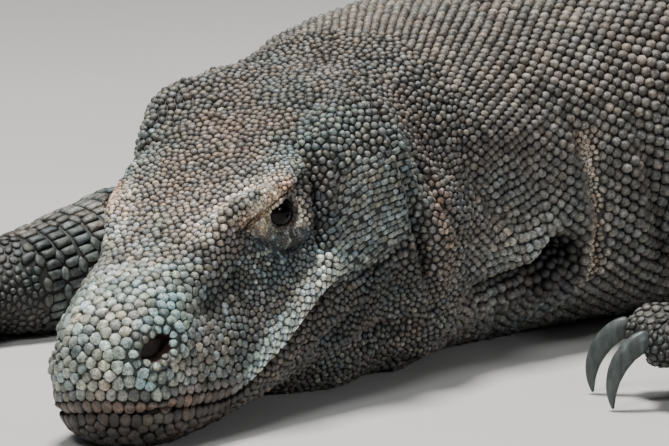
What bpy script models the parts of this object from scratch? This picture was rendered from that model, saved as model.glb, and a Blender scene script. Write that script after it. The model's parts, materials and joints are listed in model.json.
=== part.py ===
"""A komodo dragon at rest, life size: chin, throat, belly, feet and tail on the floor.

The animal is modelled whole. Lofts and tubes are joined by a voxel remesh, smoothed and thinned, and
the body is then parted with thin slabs where a person names its parts. Eyes and claws are solids of
their own. Metres, +Z up. The body is laid out from the tip of the snout and moved at the end, so that
the origin is at the bottom centre of the whole model.
"""

import math

import bmesh
import bpy
import numpy as np
from mathutils import Matrix, Vector

# ---- driving dimensions -------------------------------------------------------------------------

BODY_LENGTH = 2.46  # snout to tail tip along the back
HEAD_PITCH = math.radians(14.0)  # the snout points this far down
HEAD_ROLL = math.radians(6.0)  # and the left side of the head is raised this far
HEAD_LIFT = 0.0150  # height of the front of the mouth line
GAP = 0.0004  # width of every parting cut

VOXEL = 0.0036
FLESH_FACES = 3700  # before the cuts; some have four corners
RING_POINTS = 44
BODY_STEP = 0.012

# Heading of the spine, from head to tail, against distance from the snout: metres, degrees from +X.
SPINE_HEADING = [
    (0.000, 63.3), (0.190, 63.3), (0.250, 57), (0.320, 50), (0.420, 43), (0.600, 34), (0.850, 25),
    (1.050, 18), (1.300, 6), (1.600, -12), (1.900, -14), (2.200, 8), (2.460, 34),
]

# Neck, trunk and tail: distance from the snout, half width, top and bottom above the floor.
BODY_SECTIONS = [
    (0.165, 0.036, 0.090, 0.014), (0.190, 0.050, 0.127, 0.003), (0.215, 0.060, 0.141, -0.002),
    (0.240, 0.065, 0.147, -0.003), (0.280, 0.071, 0.152, -0.003), (0.330, 0.079, 0.156, -0.003),
    (0.390, 0.091, 0.164, -0.003), (0.450, 0.105, 0.173, -0.003), (0.520, 0.119, 0.180, -0.003),
    (0.620, 0.133, 0.183, -0.003), (0.740, 0.142, 0.180, -0.003), (0.860, 0.138, 0.174, -0.003),
    (0.960, 0.118, 0.166, -0.003), (1.040, 0.094, 0.156, -0.003), (1.110, 0.073, 0.143, -0.003),
    (1.180, 0.060, 0.130, -0.003), (1.300, 0.050, 0.113, -0.003), (1.500, 0.039, 0.091, -0.002),
    (1.750, 0.028, 0.068, -0.002), (2.000, 0.019, 0.048, -0.0015), (2.250, 0.011, 0.029, -0.001),
    (2.400, 0.0065, 0.017, -0.0008), (2.460, 0.0035, 0.009, 0.001),
]

# Head, in its own frame: distance back from the snout, half width, level of the widest line, top and
# bottom. The mouth line is at level zero.
HEAD_SECTIONS = [
    (0.0000, 0.0040, 0.0070, 0.0100, 0.0020), (0.0018, 0.0118, 0.0060, 0.0190, -0.0050),
    (0.0050, 0.0180, 0.0050, 0.0260, -0.0110), (0.0100, 0.0232, 0.0030, 0.0320, -0.0160),
    (0.0180, 0.0274, 0.0000, 0.0380, -0.0205), (0.0300, 0.0304, -0.0020, 0.0428, -0.0240),
    (0.0450, 0.0328, -0.0040, 0.0458, -0.0275), (0.0650, 0.0354, -0.0050, 0.0485, -0.0310),
    (0.0850, 0.0388, -0.0050, 0.0525, -0.0335), (0.1050, 0.0428, -0.0030, 0.0575, -0.0350),
    (0.1250, 0.0472, 0.0010, 0.0622, -0.0360), (0.1450, 0.0512, 0.0060, 0.0658, -0.0370),
    (0.1650, 0.0545, 0.0100, 0.0685, -0.0375), (0.1850, 0.0562, 0.0120, 0.0705, -0.0380),
    (0.2000, 0.0562, 0.0120, 0.0715, -0.0380), (0.2150, 0.0545, 0.0120, 0.0710, -0.0370),
    (0.2300, 0.0500, 0.0130, 0.0680, -0.0330), (0.2420, 0.0420, 0.0150, 0.0590, -0.0230),
]

# Swellings and hollows of the head: distance back, out from the middle, level, reach, height.
HEAD_MARKS = [
    (0.108, 0.036, 0.057, 0.015, 0.0052),  # brow, over the eye
    (0.125, 0.039, 0.061, 0.013, 0.0044),  # back of the brow
    (0.090, 0.031, 0.050, 0.014, 0.0016),  # ridge running forward from the brow
    (0.020, 0.027, 0.026, 0.009, 0.0018),  # swelling round the nostril
    (0.074, 0.036, 0.024, 0.019, -0.0028),  # hollow between nostril and eye
    (0.116, 0.043, 0.040, 0.011, -0.0034),  # eye socket
    (0.138, 0.048, 0.044, 0.012, -0.0034),  # hollow behind the eye
    (0.180, 0.054, 0.032, 0.028, 0.0045),  # jaw muscle
    (0.060, 0.000, 0.048, 0.016, -0.0012),  # flat top of the snout
    (0.114, 0.000, 0.062, 0.018, -0.0022),  # dip between the brows
    (0.213, 0.054, 0.028, 0.010, -0.0025),  # ear hollow
]

EYE_RADIUS = 0.0098
EYE_CENTRE = (0.1145, 0.0345, 0.0420)  # back, out, up in the head's frame

# Mouth line: distance back from the snout and level. Behind its end the lower jaw is cut off downward.
MOUTH_LINE = [
    (-0.020, 0.0030), (0.000, 0.0030), (0.012, -0.0007), (0.033, -0.0084), (0.055, -0.0145),
    (0.070, -0.0148), (0.082, -0.0119), (0.095, -0.0062), (0.108, -0.0005), (0.121, 0.0038),
    (0.142, 0.0060),
]

# Places where the body is parted, as distances from the snout along the spine.
NECK_FRONT, NECK_BACK, TRUNK_MIDDLE, TAIL_FRONT = 0.236, 0.392, 0.715, 1.135
TAIL_CUTS = [1.420, 1.760, 2.110]

UPPER_ARM_RADII = [0.040, 0.044, 0.039, 0.034]
FOREARM_RADII = [0.034, 0.033, 0.029, 0.0230]
THIGH_RADII = [0.050, 0.057, 0.051, 0.041]
SHIN_RADII = [0.041, 0.039, 0.031, 0.0250]

# Toes from the inner to the outer one: turn from the way the foot points, length, place across it.
HAND_TOES = [
    (47, 0.046, 0.026), (27, 0.048, 0.013), (-9, 0.046, -0.003), (-24, 0.048, -0.013), (-52, 0.036, -0.023),
]
FOOT_TOES = [
    (34, 0.036, 0.027), (17, 0.052, 0.015), (2, 0.066, 0.002), (-14, 0.074, -0.011), (-58, 0.046, -0.024),
]
HAND_HALF_WIDTH, FOOT_HALF_WIDTH = 0.030, 0.031
FOOT_LENGTH = 0.072  # ankle to the knuckles
TOE_RADIUS = 0.0122
TOE_HEIGHTS = [0.0125, 0.0240, 0.0300, 0.0275]  # of its middle line, from the palm to its end

CLAW_WIDTH, CLAW_DEPTH = 0.0042, 0.0060  # half sizes at the toe
CLAW_START, CLAW_END = math.radians(-18), math.radians(-106)  # dip of its line at the toe and tip
CLAW_SUNK = 0.0055  # how much of it lies in the toe
CLAW_RINGS, CLAW_POINTS = 6, 6
CLAW_FLOOR = 0.0006  # height of its tip over the floor

LOOKS = {  # colour and roughness
    "hide": ((0.105, 0.098, 0.090), 0.70),
    "claw": ((0.170, 0.180, 0.185), 0.48),
    "eye": ((0.012, 0.009, 0.008), 0.08),
}


# ---- curves --------------------------------------------------------------------------------------


def through(table, x):
    """Columns of a table as a smooth curve through its rows, read at x (first column)."""
    rows = np.array(table, float)
    at = np.clip(x, rows[0, 0], rows[-1, 0])
    slopes = np.gradient(rows[:, 1:], rows[:, 0], axis=0)
    i = np.clip(np.searchsorted(rows[:, 0], at) - 1, 0, len(rows) - 2)
    width = rows[i + 1, 0] - rows[i, 0]
    t = ((at - rows[i, 0]) / width)[..., None]
    w = width[..., None]
    a, b = rows[i, 1:], rows[i + 1, 1:]
    ma, mb = slopes[i] * w, slopes[i + 1] * w
    return (
        (2 * t**3 - 3 * t**2 + 1) * a
        + (t**3 - 2 * t**2 + t) * ma
        + (3 * t**2 - 2 * t**3) * b
        + (t**3 - t**2) * mb
    )


def spine_table():
    """Position and heading of the spine at each millimetre, from the snout."""
    s = np.arange(0.0, BODY_LENGTH + 0.001, 0.001)
    heading = np.radians(through(SPINE_HEADING, s)[:, 0])
    steps = np.stack([np.cos(heading), np.sin(heading)], 1) * 0.001
    places = np.cumsum(steps, 0) - steps[0]
    return s, places, heading


SPINE = spine_table()


def on_spine(s, out=0.0, height=0.0):
    """A point beside the spine: s from the snout, out to the animal's left, height over the floor."""
    at, places, headings = SPINE
    x, y = (np.interp(s, at, places[:, k]) for k in (0, 1))
    h = np.interp(s, at, headings)
    return Vector((x + out * math.sin(h), y - out * math.cos(h), height))


def spine_direction(s):
    h = np.interp(s, SPINE[0], SPINE[2])
    return Vector((math.cos(h), math.sin(h), 0))


def head_matrix():
    """From the head's frame (back, left, up) to the world."""
    back = spine_direction(0.0)
    level = Vector((back.y, -back.x, 0))
    tilted = back * math.cos(HEAD_PITCH) + Vector((0, 0, math.sin(HEAD_PITCH)))
    upright = Vector((0, 0, math.cos(HEAD_PITCH))) - back * math.sin(HEAD_PITCH)
    left = level * math.cos(HEAD_ROLL) + upright * math.sin(HEAD_ROLL)
    up = upright * math.cos(HEAD_ROLL) - level * math.sin(HEAD_ROLL)
    matrix = Matrix((tilted, left, up)).transposed().to_4x4()
    matrix.translation = Vector((0, 0, HEAD_LIFT))
    return matrix


def smooth_path(points, radii, step):
    """Points and radii along a smooth curve through the given joints."""
    joints = np.array([tuple(p) for p in points])
    reach = np.concatenate([[0], np.cumsum(np.linalg.norm(np.diff(joints, axis=0), axis=1))])
    table = np.column_stack([reach, joints, radii])
    at = np.linspace(0, reach[-1], max(4, int(reach[-1] / step)))
    found = through(table, at)
    return found[:, :3], found[:, 3:]


# ---- mesh makers ---------------------------------------------------------------------------------


def add_object(name, mesh):
    obj = bpy.data.objects.new(name, mesh)
    bpy.context.scene.collection.objects.link(obj)
    return obj


def loft(name, rings):
    """A closed mesh through rings of points, all with the same count, closed by a fan at each end."""
    bm = bmesh.new()
    rows = [[bm.verts.new(p) for p in ring] for ring in rings]
    for a, b in zip(rows, rows[1:]):
        for k in range(len(a)):
            n = (k + 1) % len(a)
            bm.faces.new((a[k], a[n], b[n], b[k]))
    for row in (rows[0], rows[-1]):
        middle = bm.verts.new(sum((v.co for v in row), Vector()) / len(row))
        for k in range(len(row)):
            bm.faces.new((row[k], row[(k + 1) % len(row)], middle))
    bmesh.ops.recalc_face_normals(bm, faces=bm.faces)
    mesh = bpy.data.meshes.new(name)
    bm.to_mesh(mesh)
    bm.free()
    return add_object(name, mesh)


def section(width, middle, top, bottom, upper, lower, count=RING_POINTS):
    """Points of one cross section, as (out, up): two half superellipses on one widest line."""
    angle = np.linspace(0, 2 * math.pi, count, endpoint=False)
    c, s = np.cos(angle), np.sin(angle)
    power = np.where(s >= 0, 2 / upper, 2 / lower)
    height = np.where(s >= 0, top - middle, middle - bottom)
    out = width * np.sign(c) * np.abs(c) ** power
    up = middle + height * np.sign(s) * np.abs(s) ** power
    return out, up


def tube(name, points, radii, step=0.008, flatness=1.0, count=24):
    """A round tube along a smooth curve. flatness is its height as a share of its width."""
    path, sizes = smooth_path(points, np.reshape(radii, (-1, 1)), step)
    along = np.gradient(path, axis=0)
    rings = []
    for p, direction, r in zip(path, along, sizes[:, 0]):
        d = Vector(direction).normalized()
        side = d.cross(Vector((0, 0, 1))).normalized()
        up = side.cross(d)
        out, rise = section(r, 0, r * flatness, -r * flatness, 2, 2, count)
        rings.append([Vector(p) + side * o + up * u for o, u in zip(out, rise)])
    return loft(name, rings)


def ball(name, centre, sizes, turn=None):
    """An ellipsoid with the given half sizes."""
    mesh = bpy.data.meshes.new(name)
    bm = bmesh.new()
    matrix = Matrix.Translation(centre) @ (turn or Matrix.Identity(4)) @ Matrix.Diagonal((*sizes, 1))
    bmesh.ops.create_uvsphere(bm, u_segments=32, v_segments=20, radius=1, matrix=matrix)
    bm.to_mesh(mesh)
    bm.free()
    return add_object(name, mesh)


def apply_modifier(obj, kind, **settings):
    modifier = obj.modifiers.new(kind.lower(), kind)
    for key, value in settings.items():
        setattr(modifier, key, value)
    graph = bpy.context.evaluated_depsgraph_get()
    mesh = bpy.data.meshes.new_from_object(obj.evaluated_get(graph))
    obj.modifiers.clear()
    obj.data = mesh
    return obj


def joined(name, objects):
    """One mesh object that holds the faces of them all."""
    bm = bmesh.new()
    for obj in objects:
        bm.from_mesh(obj.data)
        bpy.data.objects.remove(obj)
    mesh = bpy.data.meshes.new(name)
    bm.to_mesh(mesh)
    bm.free()
    return add_object(name, mesh)


# ---- the body ------------------------------------------------------------------------------------


def make_head():
    """Skull, jaws and cheeks as one loft, with the brow, hollows and muscles pushed out and in."""
    back = np.concatenate([[0, 0.0008, 0.0018, 0.0034, 0.0055], np.arange(0.008, 0.242, 0.003)])
    sizes = through(HEAD_SECTIONS, back)
    to_world = head_matrix()
    rings = []
    for a, (width, middle, top, bottom) in zip(back, sizes):
        boxy = float(np.interp(a, [0, 0.03, 0.09, 0.15, 0.2, 0.24], [2.2, 2.6, 3.3, 3.5, 3.2, 2.6]))
        out, up = section(width, middle, top, bottom, boxy, 2.3, 72)
        centre = (top + bottom) / 2
        for at, side, level, reach, height in HEAD_MARKS:
            near = np.exp(-((a - at) ** 2 + (np.abs(out) - side) ** 2 + (up - level) ** 2) / reach**2)
            length = np.hypot(out, up - centre) + 1e-9
            out = out + near * height * out / length
            up = up + near * height * (up - centre) / length
        rings.append([to_world @ Vector((a, o, u)) for o, u in zip(out, up)])
    return loft("head_loft", rings)


def make_trunk():
    """Neck, trunk and tail as one loft along the spine, widest below the middle, as it lies."""
    first, last = BODY_SECTIONS[0][0], BODY_SECTIONS[-1][0]
    at = np.linspace(first, last, int((last - first) / BODY_STEP))
    rings = []
    for s, (width, top, bottom) in zip(at, through(BODY_SECTIONS, at)):
        share = np.interp(s, [0.2, 0.4, 0.7, 1.0, 1.2, 2.0], [0.5, 0.46, 0.42, 0.43, 0.46, 0.48])
        middle = bottom + share * (top - bottom)
        lower = float(np.interp(s, [0.2, 0.6, 1.0, 1.3], [2.3, 2.6, 2.6, 2.3]))
        upper = float(np.interp(s, [0.2, 0.3, 0.45, 0.7], [2.9, 2.7, 2.3, 2.05]))
        out, up = section(width, middle, top, bottom, upper, lower)
        rings.append([on_spine(s, o, u) for o, u in zip(out, up)])
    return loft("trunk_loft", rings)


class Limb:
    """One leg: its joints in the world, where its knuckles are and which way its toes point."""

    def __init__(self, name, joints, knuckles, pointing, side, rear):
        self.name, self.joints, self.knuckles = name, joints, knuckles
        self.side, self.rear = side, rear
        self.pointing = math.radians(pointing)
        self.toes = FOOT_TOES if rear else HAND_TOES

    def toe_path(self, turn, length, across):
        """Joints of one toe, and the way it points: it is raised, and bends down to its claw."""
        ahead = Vector((math.cos(self.pointing), math.sin(self.pointing), 0))
        inner = Vector((ahead.y, -ahead.x, 0)) * self.side
        angle = self.pointing - self.side * math.radians(turn)
        way = Vector((math.cos(angle), math.sin(angle), 0))
        start = Vector((self.knuckles.x, self.knuckles.y, 0)) + inner * across
        start -= ahead * abs(across) * 0.30
        places = [start - way * 0.016, start, start + way * length * 0.5, start + way * length]
        return [p + Vector((0, 0, z)) for p, z in zip(places, TOE_HEIGHTS)], way

    def meshes(self):
        """Upper and lower limb, palm and toes, before they are joined."""
        upper, lower = (
            (THIGH_RADII, SHIN_RADII) if self.rear else (UPPER_ARM_RADII, FOREARM_RADII)
        )
        root, knee, ankle = self.joints
        points = [
            root, root.lerp(knee, 0.35), root.lerp(knee, 0.72), knee,
            knee.lerp(ankle, 0.34), knee.lerp(ankle, 0.70), ankle,
        ]
        radii = [*upper[:3], (upper[3] + lower[0]) / 2, *lower[1:]]
        half = FOOT_HALF_WIDTH if self.rear else HAND_HALF_WIDTH
        yield tube(self.name + "_limb", points, radii, flatness=0.97)
        yield ball(self.name + "_wrist", ankle, [lower[3] * 1.04] * 3)
        yield tube(
            self.name + "_palm",
            [ankle, ankle.lerp(self.knuckles, 0.5), self.knuckles],
            [lower[3], (lower[3] + half) / 2, half],
            flatness=0.66,
        )
        for k, toe in enumerate(self.toes):
            path, way = self.toe_path(*toe)
            radii = [TOE_RADIUS * f for f in (1.2, 1.12, 1.0, 0.9)]
            yield tube(f"{self.name}_toe_{k}", path, radii, 0.004, 1.0, 16)
            yield ball(f"{self.name}_tip_{k}", path[-1], [TOE_RADIUS * 0.92] * 3)


def make_limbs():
    """The four legs. The left forefoot stands in front of the neck, the right one lies beside it."""
    foot = lambda ankle, angle: Vector(
        (
            ankle.x + FOOT_LENGTH * math.cos(math.radians(angle)),
            ankle.y + FOOT_LENGTH * math.sin(math.radians(angle)),
            0.0165,
        )
    )
    left_arm = [
        on_spine(0.448, 0.045, 0.092),
        Vector((0.374, 0.230, 0.116)),
        Vector((0.292, 0.130, 0.060)),
    ]
    right_arm = [
        on_spine(0.420, -0.045, 0.084),
        Vector((0.056, 0.352, 0.038)),
        Vector((-0.048, 0.258, 0.0225)),
    ]
    left_leg = [
        on_spine(0.995, 0.035, 0.086),
        on_spine(0.895, 0.205, 0.088),
        on_spine(1.020, 0.282, 0.032),
    ]
    right_leg = [
        on_spine(1.005, -0.035, 0.086),
        on_spine(0.925, -0.205, 0.086),
        on_spine(1.070, -0.276, 0.032),
    ]
    return [
        Limb("arm_left", left_arm, Vector((0.290, 0.098, 0.0120)), 224, 1, False),
        Limb("arm_right", right_arm, Vector((-0.094, 0.232, 0.0165)), 208, -1, False),
        Limb("leg_left", left_leg, foot(left_leg[2], 228), 228, 1, True),
        Limb("leg_right", right_leg, foot(right_leg[2], 142), 142, -1, True),
    ]


def make_throat():
    """The soft throat that lies on the floor behind the chin, and the jowls beside it."""
    to_world = head_matrix()
    turn = Matrix.Rotation(math.radians(SPINE_HEADING[0][1]), 4, "Z")
    yield ball("throat", on_spine(0.178, 0.000, 0.020), (0.058, 0.046, 0.026), turn)
    yield ball("throat_back", on_spine(0.222, 0.004, 0.030), (0.050, 0.058, 0.036), turn)
    yield ball("nape", on_spine(0.205, 0.0, 0.090), (0.052, 0.054, 0.040), turn)
    for out in (-1, 1):
        yield ball("jowl", to_world @ Vector((0.206, out * 0.036, -0.004)), (0.034, 0.030, 0.040), turn)


def make_whole(limbs):
    """The whole animal as one closed mesh, cut flat at the floor."""
    pieces = [make_head(), make_trunk(), *make_throat()]
    for limb in limbs:
        pieces += list(limb.meshes())
    whole = joined("whole", pieces)
    apply_modifier(whole, "REMESH", mode="VOXEL", voxel_size=VOXEL)
    reach = np.array([(v.co.x, v.co.y, v.co.z) for v in whole.data.vertices])
    along = spine_distances(reach)
    feet = np.min([np.linalg.norm(reach - np.array(l.knuckles), axis=1) for l in limbs], axis=0)
    head = np.clip((along - 0.165) / 0.05, 0, 1)
    foot = np.clip((feet - 0.080) / 0.03, 0, 1)
    soft = whole.vertex_groups.new(name="soft")
    for v, weight in zip(whole.data.vertices, np.minimum(head, foot) * 0.86 + 0.14):
        soft.add([v.index], float(weight), "REPLACE")
    apply_modifier(whole, "SMOOTH", factor=0.5, iterations=26, vertex_group="soft")
    for v in whole.data.vertices:
        v.co.z = max(v.co.z, 0.0)
    return whole


def thin_out(whole, limbs):
    """Fewer triangles: finest on the head and the feet."""
    reach = np.array([(v.co.x, v.co.y, v.co.z) for v in whole.data.vertices])
    along = spine_distances(reach)
    feet = np.min([np.linalg.norm(reach - np.array(l.knuckles), axis=1) for l in limbs], axis=0)
    head, foot = np.clip((0.26 - along) / 0.04, 0, 1), np.clip((0.11 - feet) / 0.03, 0, 1)
    group = whole.vertex_groups.new(name="thin")
    for v, weight in zip(whole.data.vertices, 1 - np.maximum(0.7 * head, 0.2 * foot)):
        group.add([v.index], float(weight), "REPLACE")
    share = FLESH_FACES / (2 * len(whole.data.polygons))
    settings = {"ratio": share, "vertex_group": "thin", "vertex_group_factor": 0.025}
    apply_modifier(whole, "DECIMATE", **settings)
    for v in whole.data.vertices:
        v.co.z = max(v.co.z, 0.0)


def spine_distances(points):
    """Distance from the snout of the place on the spine nearest to each point."""
    at, places, _ = SPINE
    at, places = at[::10], places[::10]
    best = np.full(len(points), 1e9)
    found = np.zeros(len(points))
    for s, place in zip(at, places):
        gap = ((points[:, :2] - place) ** 2).sum(1)
        nearer = gap < best
        best[nearer], found[nearer] = gap[nearer], s
    return found


# ---- claws and eyes ------------------------------------------------------------------------------


def make_claw(name, end, way, grow=0.0):
    """A curved claw that leaves the toe a little above its middle and comes down to the floor."""
    start = end + way * (TOE_RADIUS * 0.86 - CLAW_SUNK) + Vector((0, 0, TOE_RADIUS * 0.28))
    radius = (start.z - CLAW_FLOOR) / (math.cos(CLAW_START) - math.cos(CLAW_END))
    side = Vector((-way.y, way.x, 0))
    rings = []
    for k in range(CLAW_RINGS + 1):
        share = k / CLAW_RINGS
        dip = CLAW_START + (CLAW_END - CLAW_START) * share
        ahead = radius * (math.sin(CLAW_START) - math.sin(dip))
        fall = radius * (math.cos(CLAW_START) - math.cos(dip))
        centre = start + way * ahead - Vector((0, 0, fall))
        along = way * math.cos(dip) + Vector((0, 0, math.sin(dip)))
        normal = side.cross(along)
        if k == 0:
            centre -= along * grow
        taper = (1 - share**2.2) * 0.86 + 0.14
        taper *= min(1.0, 0.86 + share)
        half = (CLAW_WIDTH * taper + grow, CLAW_DEPTH * taper + grow)
        turns = [2 * math.pi * i / CLAW_POINTS for i in range(CLAW_POINTS)]
        rings.append([centre + side * half[0] * math.cos(a) + normal * half[1] * math.sin(a) for a in turns])
    return loft(name, rings)


def make_eye(name, out, grow=0.0):
    """An eyeball, turned so that its axis points out of the head."""
    back, aside, level = EYE_CENTRE
    mesh = bpy.data.meshes.new(name)
    bm = bmesh.new()
    turn = Matrix.Rotation(math.radians(90), 4, "X")
    place = head_matrix() @ Matrix.Translation((back, out * aside, level)) @ turn
    bmesh.ops.create_uvsphere(bm, u_segments=12, v_segments=8, radius=EYE_RADIUS + grow, matrix=place)
    bmesh.ops.recalc_face_normals(bm, faces=bm.faces)
    bm.to_mesh(mesh)
    bm.free()
    return add_object(name, mesh)


# ---- parting -------------------------------------------------------------------------------------


def slab(centre, normal, half_size):
    """A thin box across normal."""
    n = normal.normalized()
    side = Vector((0, 0, 1)).cross(n).normalized()
    frame = Matrix((side, n.cross(side), n)).transposed().to_4x4()
    frame.translation = centre
    mesh = bpy.data.meshes.new("slab")
    bm = bmesh.new()
    sizes = Matrix.Diagonal((2 * half_size, 2 * half_size, GAP, 1))
    bmesh.ops.create_cube(bm, size=1, matrix=frame @ sizes)
    bm.to_mesh(mesh)
    bm.free()
    return add_object("slab", mesh)


def jaw_cutter():
    """A thin bent strip along the mouth line and down behind the lower jaw, as wide as the head."""
    steps = np.linspace(MOUTH_LINE[0][0], MOUTH_LINE[-1][0], 12)
    line = [(float(a), float(through(MOUTH_LINE, a)[0])) for a in steps]
    last = line[-1]
    line += [(last[0] + 0.004, last[1] - 0.006), (last[0] + 0.006, -0.080)]
    to_world = head_matrix()
    rings = []
    for k, (a, level) in enumerate(line):
        before, after = line[max(k - 1, 0)], line[min(k + 1, len(line) - 1)]
        way = Vector((after[0] - before[0], after[1] - before[1])).normalized()
        across = Vector((-way.y, way.x)) * GAP / 2
        ring = []
        for out, sign in ((-0.09, -1), (0.09, -1), (0.09, 1), (-0.09, 1)):
            ring.append(to_world @ Vector((a + sign * across.x, out, level + sign * across.y)))
        rings.append(ring)
    return loft("jaw_cutter", rings)


def cut(obj, cutter):
    """Take the cutter away from the object."""
    modifier = obj.modifiers.new("cut", "BOOLEAN")
    modifier.operation, modifier.solver, modifier.object = "DIFFERENCE", "EXACT", cutter
    graph = bpy.context.evaluated_depsgraph_get()
    mesh = bpy.data.meshes.new_from_object(obj.evaluated_get(graph))
    obj.modifiers.clear()
    obj.data = mesh
    bpy.data.objects.remove(cutter)


def islands(obj):
    """The separate bodies of one mesh as objects, largest first. Crumbs of the cuts are dropped."""
    bm = bmesh.new()
    bm.from_mesh(obj.data)
    bmesh.ops.remove_doubles(bm, verts=bm.verts, dist=2e-6)
    bmesh.ops.dissolve_degenerate(bm, edges=bm.edges, dist=2e-6)
    bmesh.ops.triangulate(bm, faces=bm.faces)
    left = set(bm.verts)
    found = []
    while left:
        front = [left.pop()]
        body = set(front)
        while front:
            vert = front.pop()
            for edge in vert.link_edges:
                other = edge.other_vert(vert)
                if other in left:
                    left.remove(other)
                    body.add(other)
                    front.append(other)
        found.append(body)
    found.sort(key=len, reverse=True)
    result = []
    for body in found:
        order = sorted(body, key=lambda v: v.index)
        number = {v: k for k, v in enumerate(order)}
        faces = {f for v in order for f in v.link_faces}
        corners = [[number[v] for v in f.verts] for f in sorted(faces, key=lambda f: f.index)]
        mesh = bpy.data.meshes.new("piece")
        mesh.from_pydata([v.co.copy() for v in order], [], corners)
        solid = bmesh.new()
        solid.from_mesh(mesh)
        size = solid.calc_volume()
        solid.free()
        if abs(size) > 1e-7:
            result.append(add_object("piece", mesh))
    bm.free()
    bpy.data.objects.remove(obj)
    return result


def middle_of(obj):
    points = [v.co for v in obj.data.vertices]
    return sum(points, Vector()) / len(points)


def name_pieces(pieces, landmarks):
    """Give each piece the name of the landmark nearest to its middle."""
    left = dict(landmarks)
    for piece in pieces:
        centre = middle_of(piece)
        name = min(left, key=lambda n: (left[n] - centre).length)
        piece.name = piece.data.name = name
        del left[name]
    if left:
        raise RuntimeError("no piece for " + ", ".join(left))


def part_body(body):
    """Head, lower jaw, neck, trunk and tail out of the one mesh without its limbs."""
    cuts = [NECK_FRONT, NECK_BACK, TRUNK_MIDDLE, TAIL_FRONT, *TAIL_CUTS]
    for s in cuts:
        cut(body, slab(on_spine(s, 0, 0.09), spine_direction(s), 0.20))
    cut(body, jaw_cutter())
    to_world = head_matrix()
    ends = [*cuts, BODY_LENGTH]
    names = ["neck", "trunk_front", "trunk_rear", "tail_base", "tail_front", "tail_middle", "tail_tip"]
    landmarks = {n: on_spine((a + b) / 2, 0, 0.06) for n, a, b in zip(names, ends, ends[1:])}
    landmarks["head"] = to_world @ Vector((0.130, 0, 0.030))
    landmarks["lower_jaw"] = to_world @ Vector((0.080, 0, -0.024))
    name_pieces(islands(body), landmarks)


def part_limb(limb, mesh):
    """Upper limb, lower limb and hand or foot."""
    root, knee, ankle = limb.joints
    first, second = (knee - root).normalized(), (ankle - knee).normalized()
    cut(mesh, slab(knee, first + second, 0.090 if limb.rear else 0.070))
    third = (limb.knuckles - ankle).normalized()
    cut(mesh, slab(ankle, second + third, 0.066 if limb.rear else 0.045))
    side = limb.name.split("_")[1]
    words = ("thigh", "shin", "foot") if limb.rear else ("upper_arm", "forearm", "hand")
    places = (root.lerp(knee, 0.8), knee.lerp(ankle, 0.5), limb.knuckles)
    pieces = islands(mesh)
    name_pieces(pieces, {f"{w}_{side}": p for w, p in zip(words, places)})


def limb_root(limb):
    """The thin cut between a limb and the trunk, just outside the trunk's flank."""
    root, knee, _ = limb.joints
    share, slope, at = (0.60, 0.22, 0.940) if limb.rear else (0.62, -0.18, 0.430)
    along = spine_direction(at)
    outward = Vector((along.y, -along.x, 0)) * limb.side
    return slab(root.lerp(knee, share), outward + along * slope, 0.080)


def make_material(name, colour, roughness):
    material = bpy.data.materials.new(name)
    material.use_nodes = True
    shader = material.node_tree.nodes["Principled BSDF"]
    shader.inputs["Base Color"].default_value = (*colour, 1)
    shader.inputs["Roughness"].default_value = roughness
    shader.inputs["Metallic"].default_value = 0.0
    return material


def finish():
    """Close every body, put the origin at the bottom centre of the whole, and give each its place."""
    solids = list(bpy.data.objects)
    low, high = Vector((1e9,) * 3), Vector((-1e9,) * 3)
    for obj in solids:
        for v in obj.data.vertices:
            for k in range(3):
                low[k], high[k] = min(low[k], v.co[k]), max(high[k], v.co[k])
    shift = Vector((-(low.x + high.x) / 2, -(low.y + high.y) / 2, -low.z))
    animal = add_object("komodo_dragon", None)
    materials = {name: make_material(name, *look) for name, look in LOOKS.items()}
    for obj in solids:
        kind = "claw" if "_claw_" in obj.name else "eye" if obj.name.startswith("eye") else "hide"
        middle = middle_of(obj)
        obj.data.transform(Matrix.Translation(-middle))
        obj.location = middle + shift
        obj.parent = animal
        bm = bmesh.new()
        bm.from_mesh(obj.data)
        bmesh.ops.triangulate(bm, faces=bm.faces)
        bmesh.ops.recalc_face_normals(bm, faces=bm.faces)
        if bm.calc_volume(signed=True) < 0:
            bmesh.ops.reverse_faces(bm, faces=bm.faces)
        bm.to_mesh(obj.data)
        bm.free()
        obj.data.materials.clear()
        obj.data.materials.append(materials[kind])
        obj.data.shade_smooth()
        obj.data.set_sharp_from_angle(angle=math.radians(50))


def main():
    for obj in list(bpy.data.objects):
        bpy.data.objects.remove(obj)
    limbs = make_limbs()
    whole = make_whole(limbs)
    thin_out(whole, limbs)
    for limb in limbs:
        cut(whole, limb_root(limb))
    body, *loose = islands(whole)
    part_body(body)
    for limb in limbs:
        mesh = min(loose, key=lambda o: (middle_of(o) - limb.joints[2]).length)
        loose.remove(mesh)
        part_limb(limb, mesh)

    objects = bpy.data.objects
    for side, out in (("left", 1), ("right", -1)):
        cut(objects["head"], make_eye("socket", out, GAP))
        make_eye("eye_" + side, out)
    for limb in limbs:
        side = limb.name.split("_")[1]
        word = "foot" if limb.rear else "hand"
        name = f"{word}_{side}"
        for k, toe in enumerate(limb.toes):
            path, way = limb.toe_path(*toe)
            cut(objects[name], make_claw("socket", path[-1], way, GAP))
            make_claw(f"{word}_claw_{side}_{k + 1}", path[-1], way)
        solid, *crumbs = islands(objects[name])
        for crumb in crumbs:
            bpy.data.objects.remove(crumb)
        solid.name = solid.data.name = name
    finish()


main()
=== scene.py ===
"""Looks of the life-size komodo dragon: skin, coat of scales, claws, eyes, floor, light, camera."""

import json
import math

import bmesh
import bpy
import numpy as np
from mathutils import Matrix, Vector, bvhtree, kdtree, noise

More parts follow.
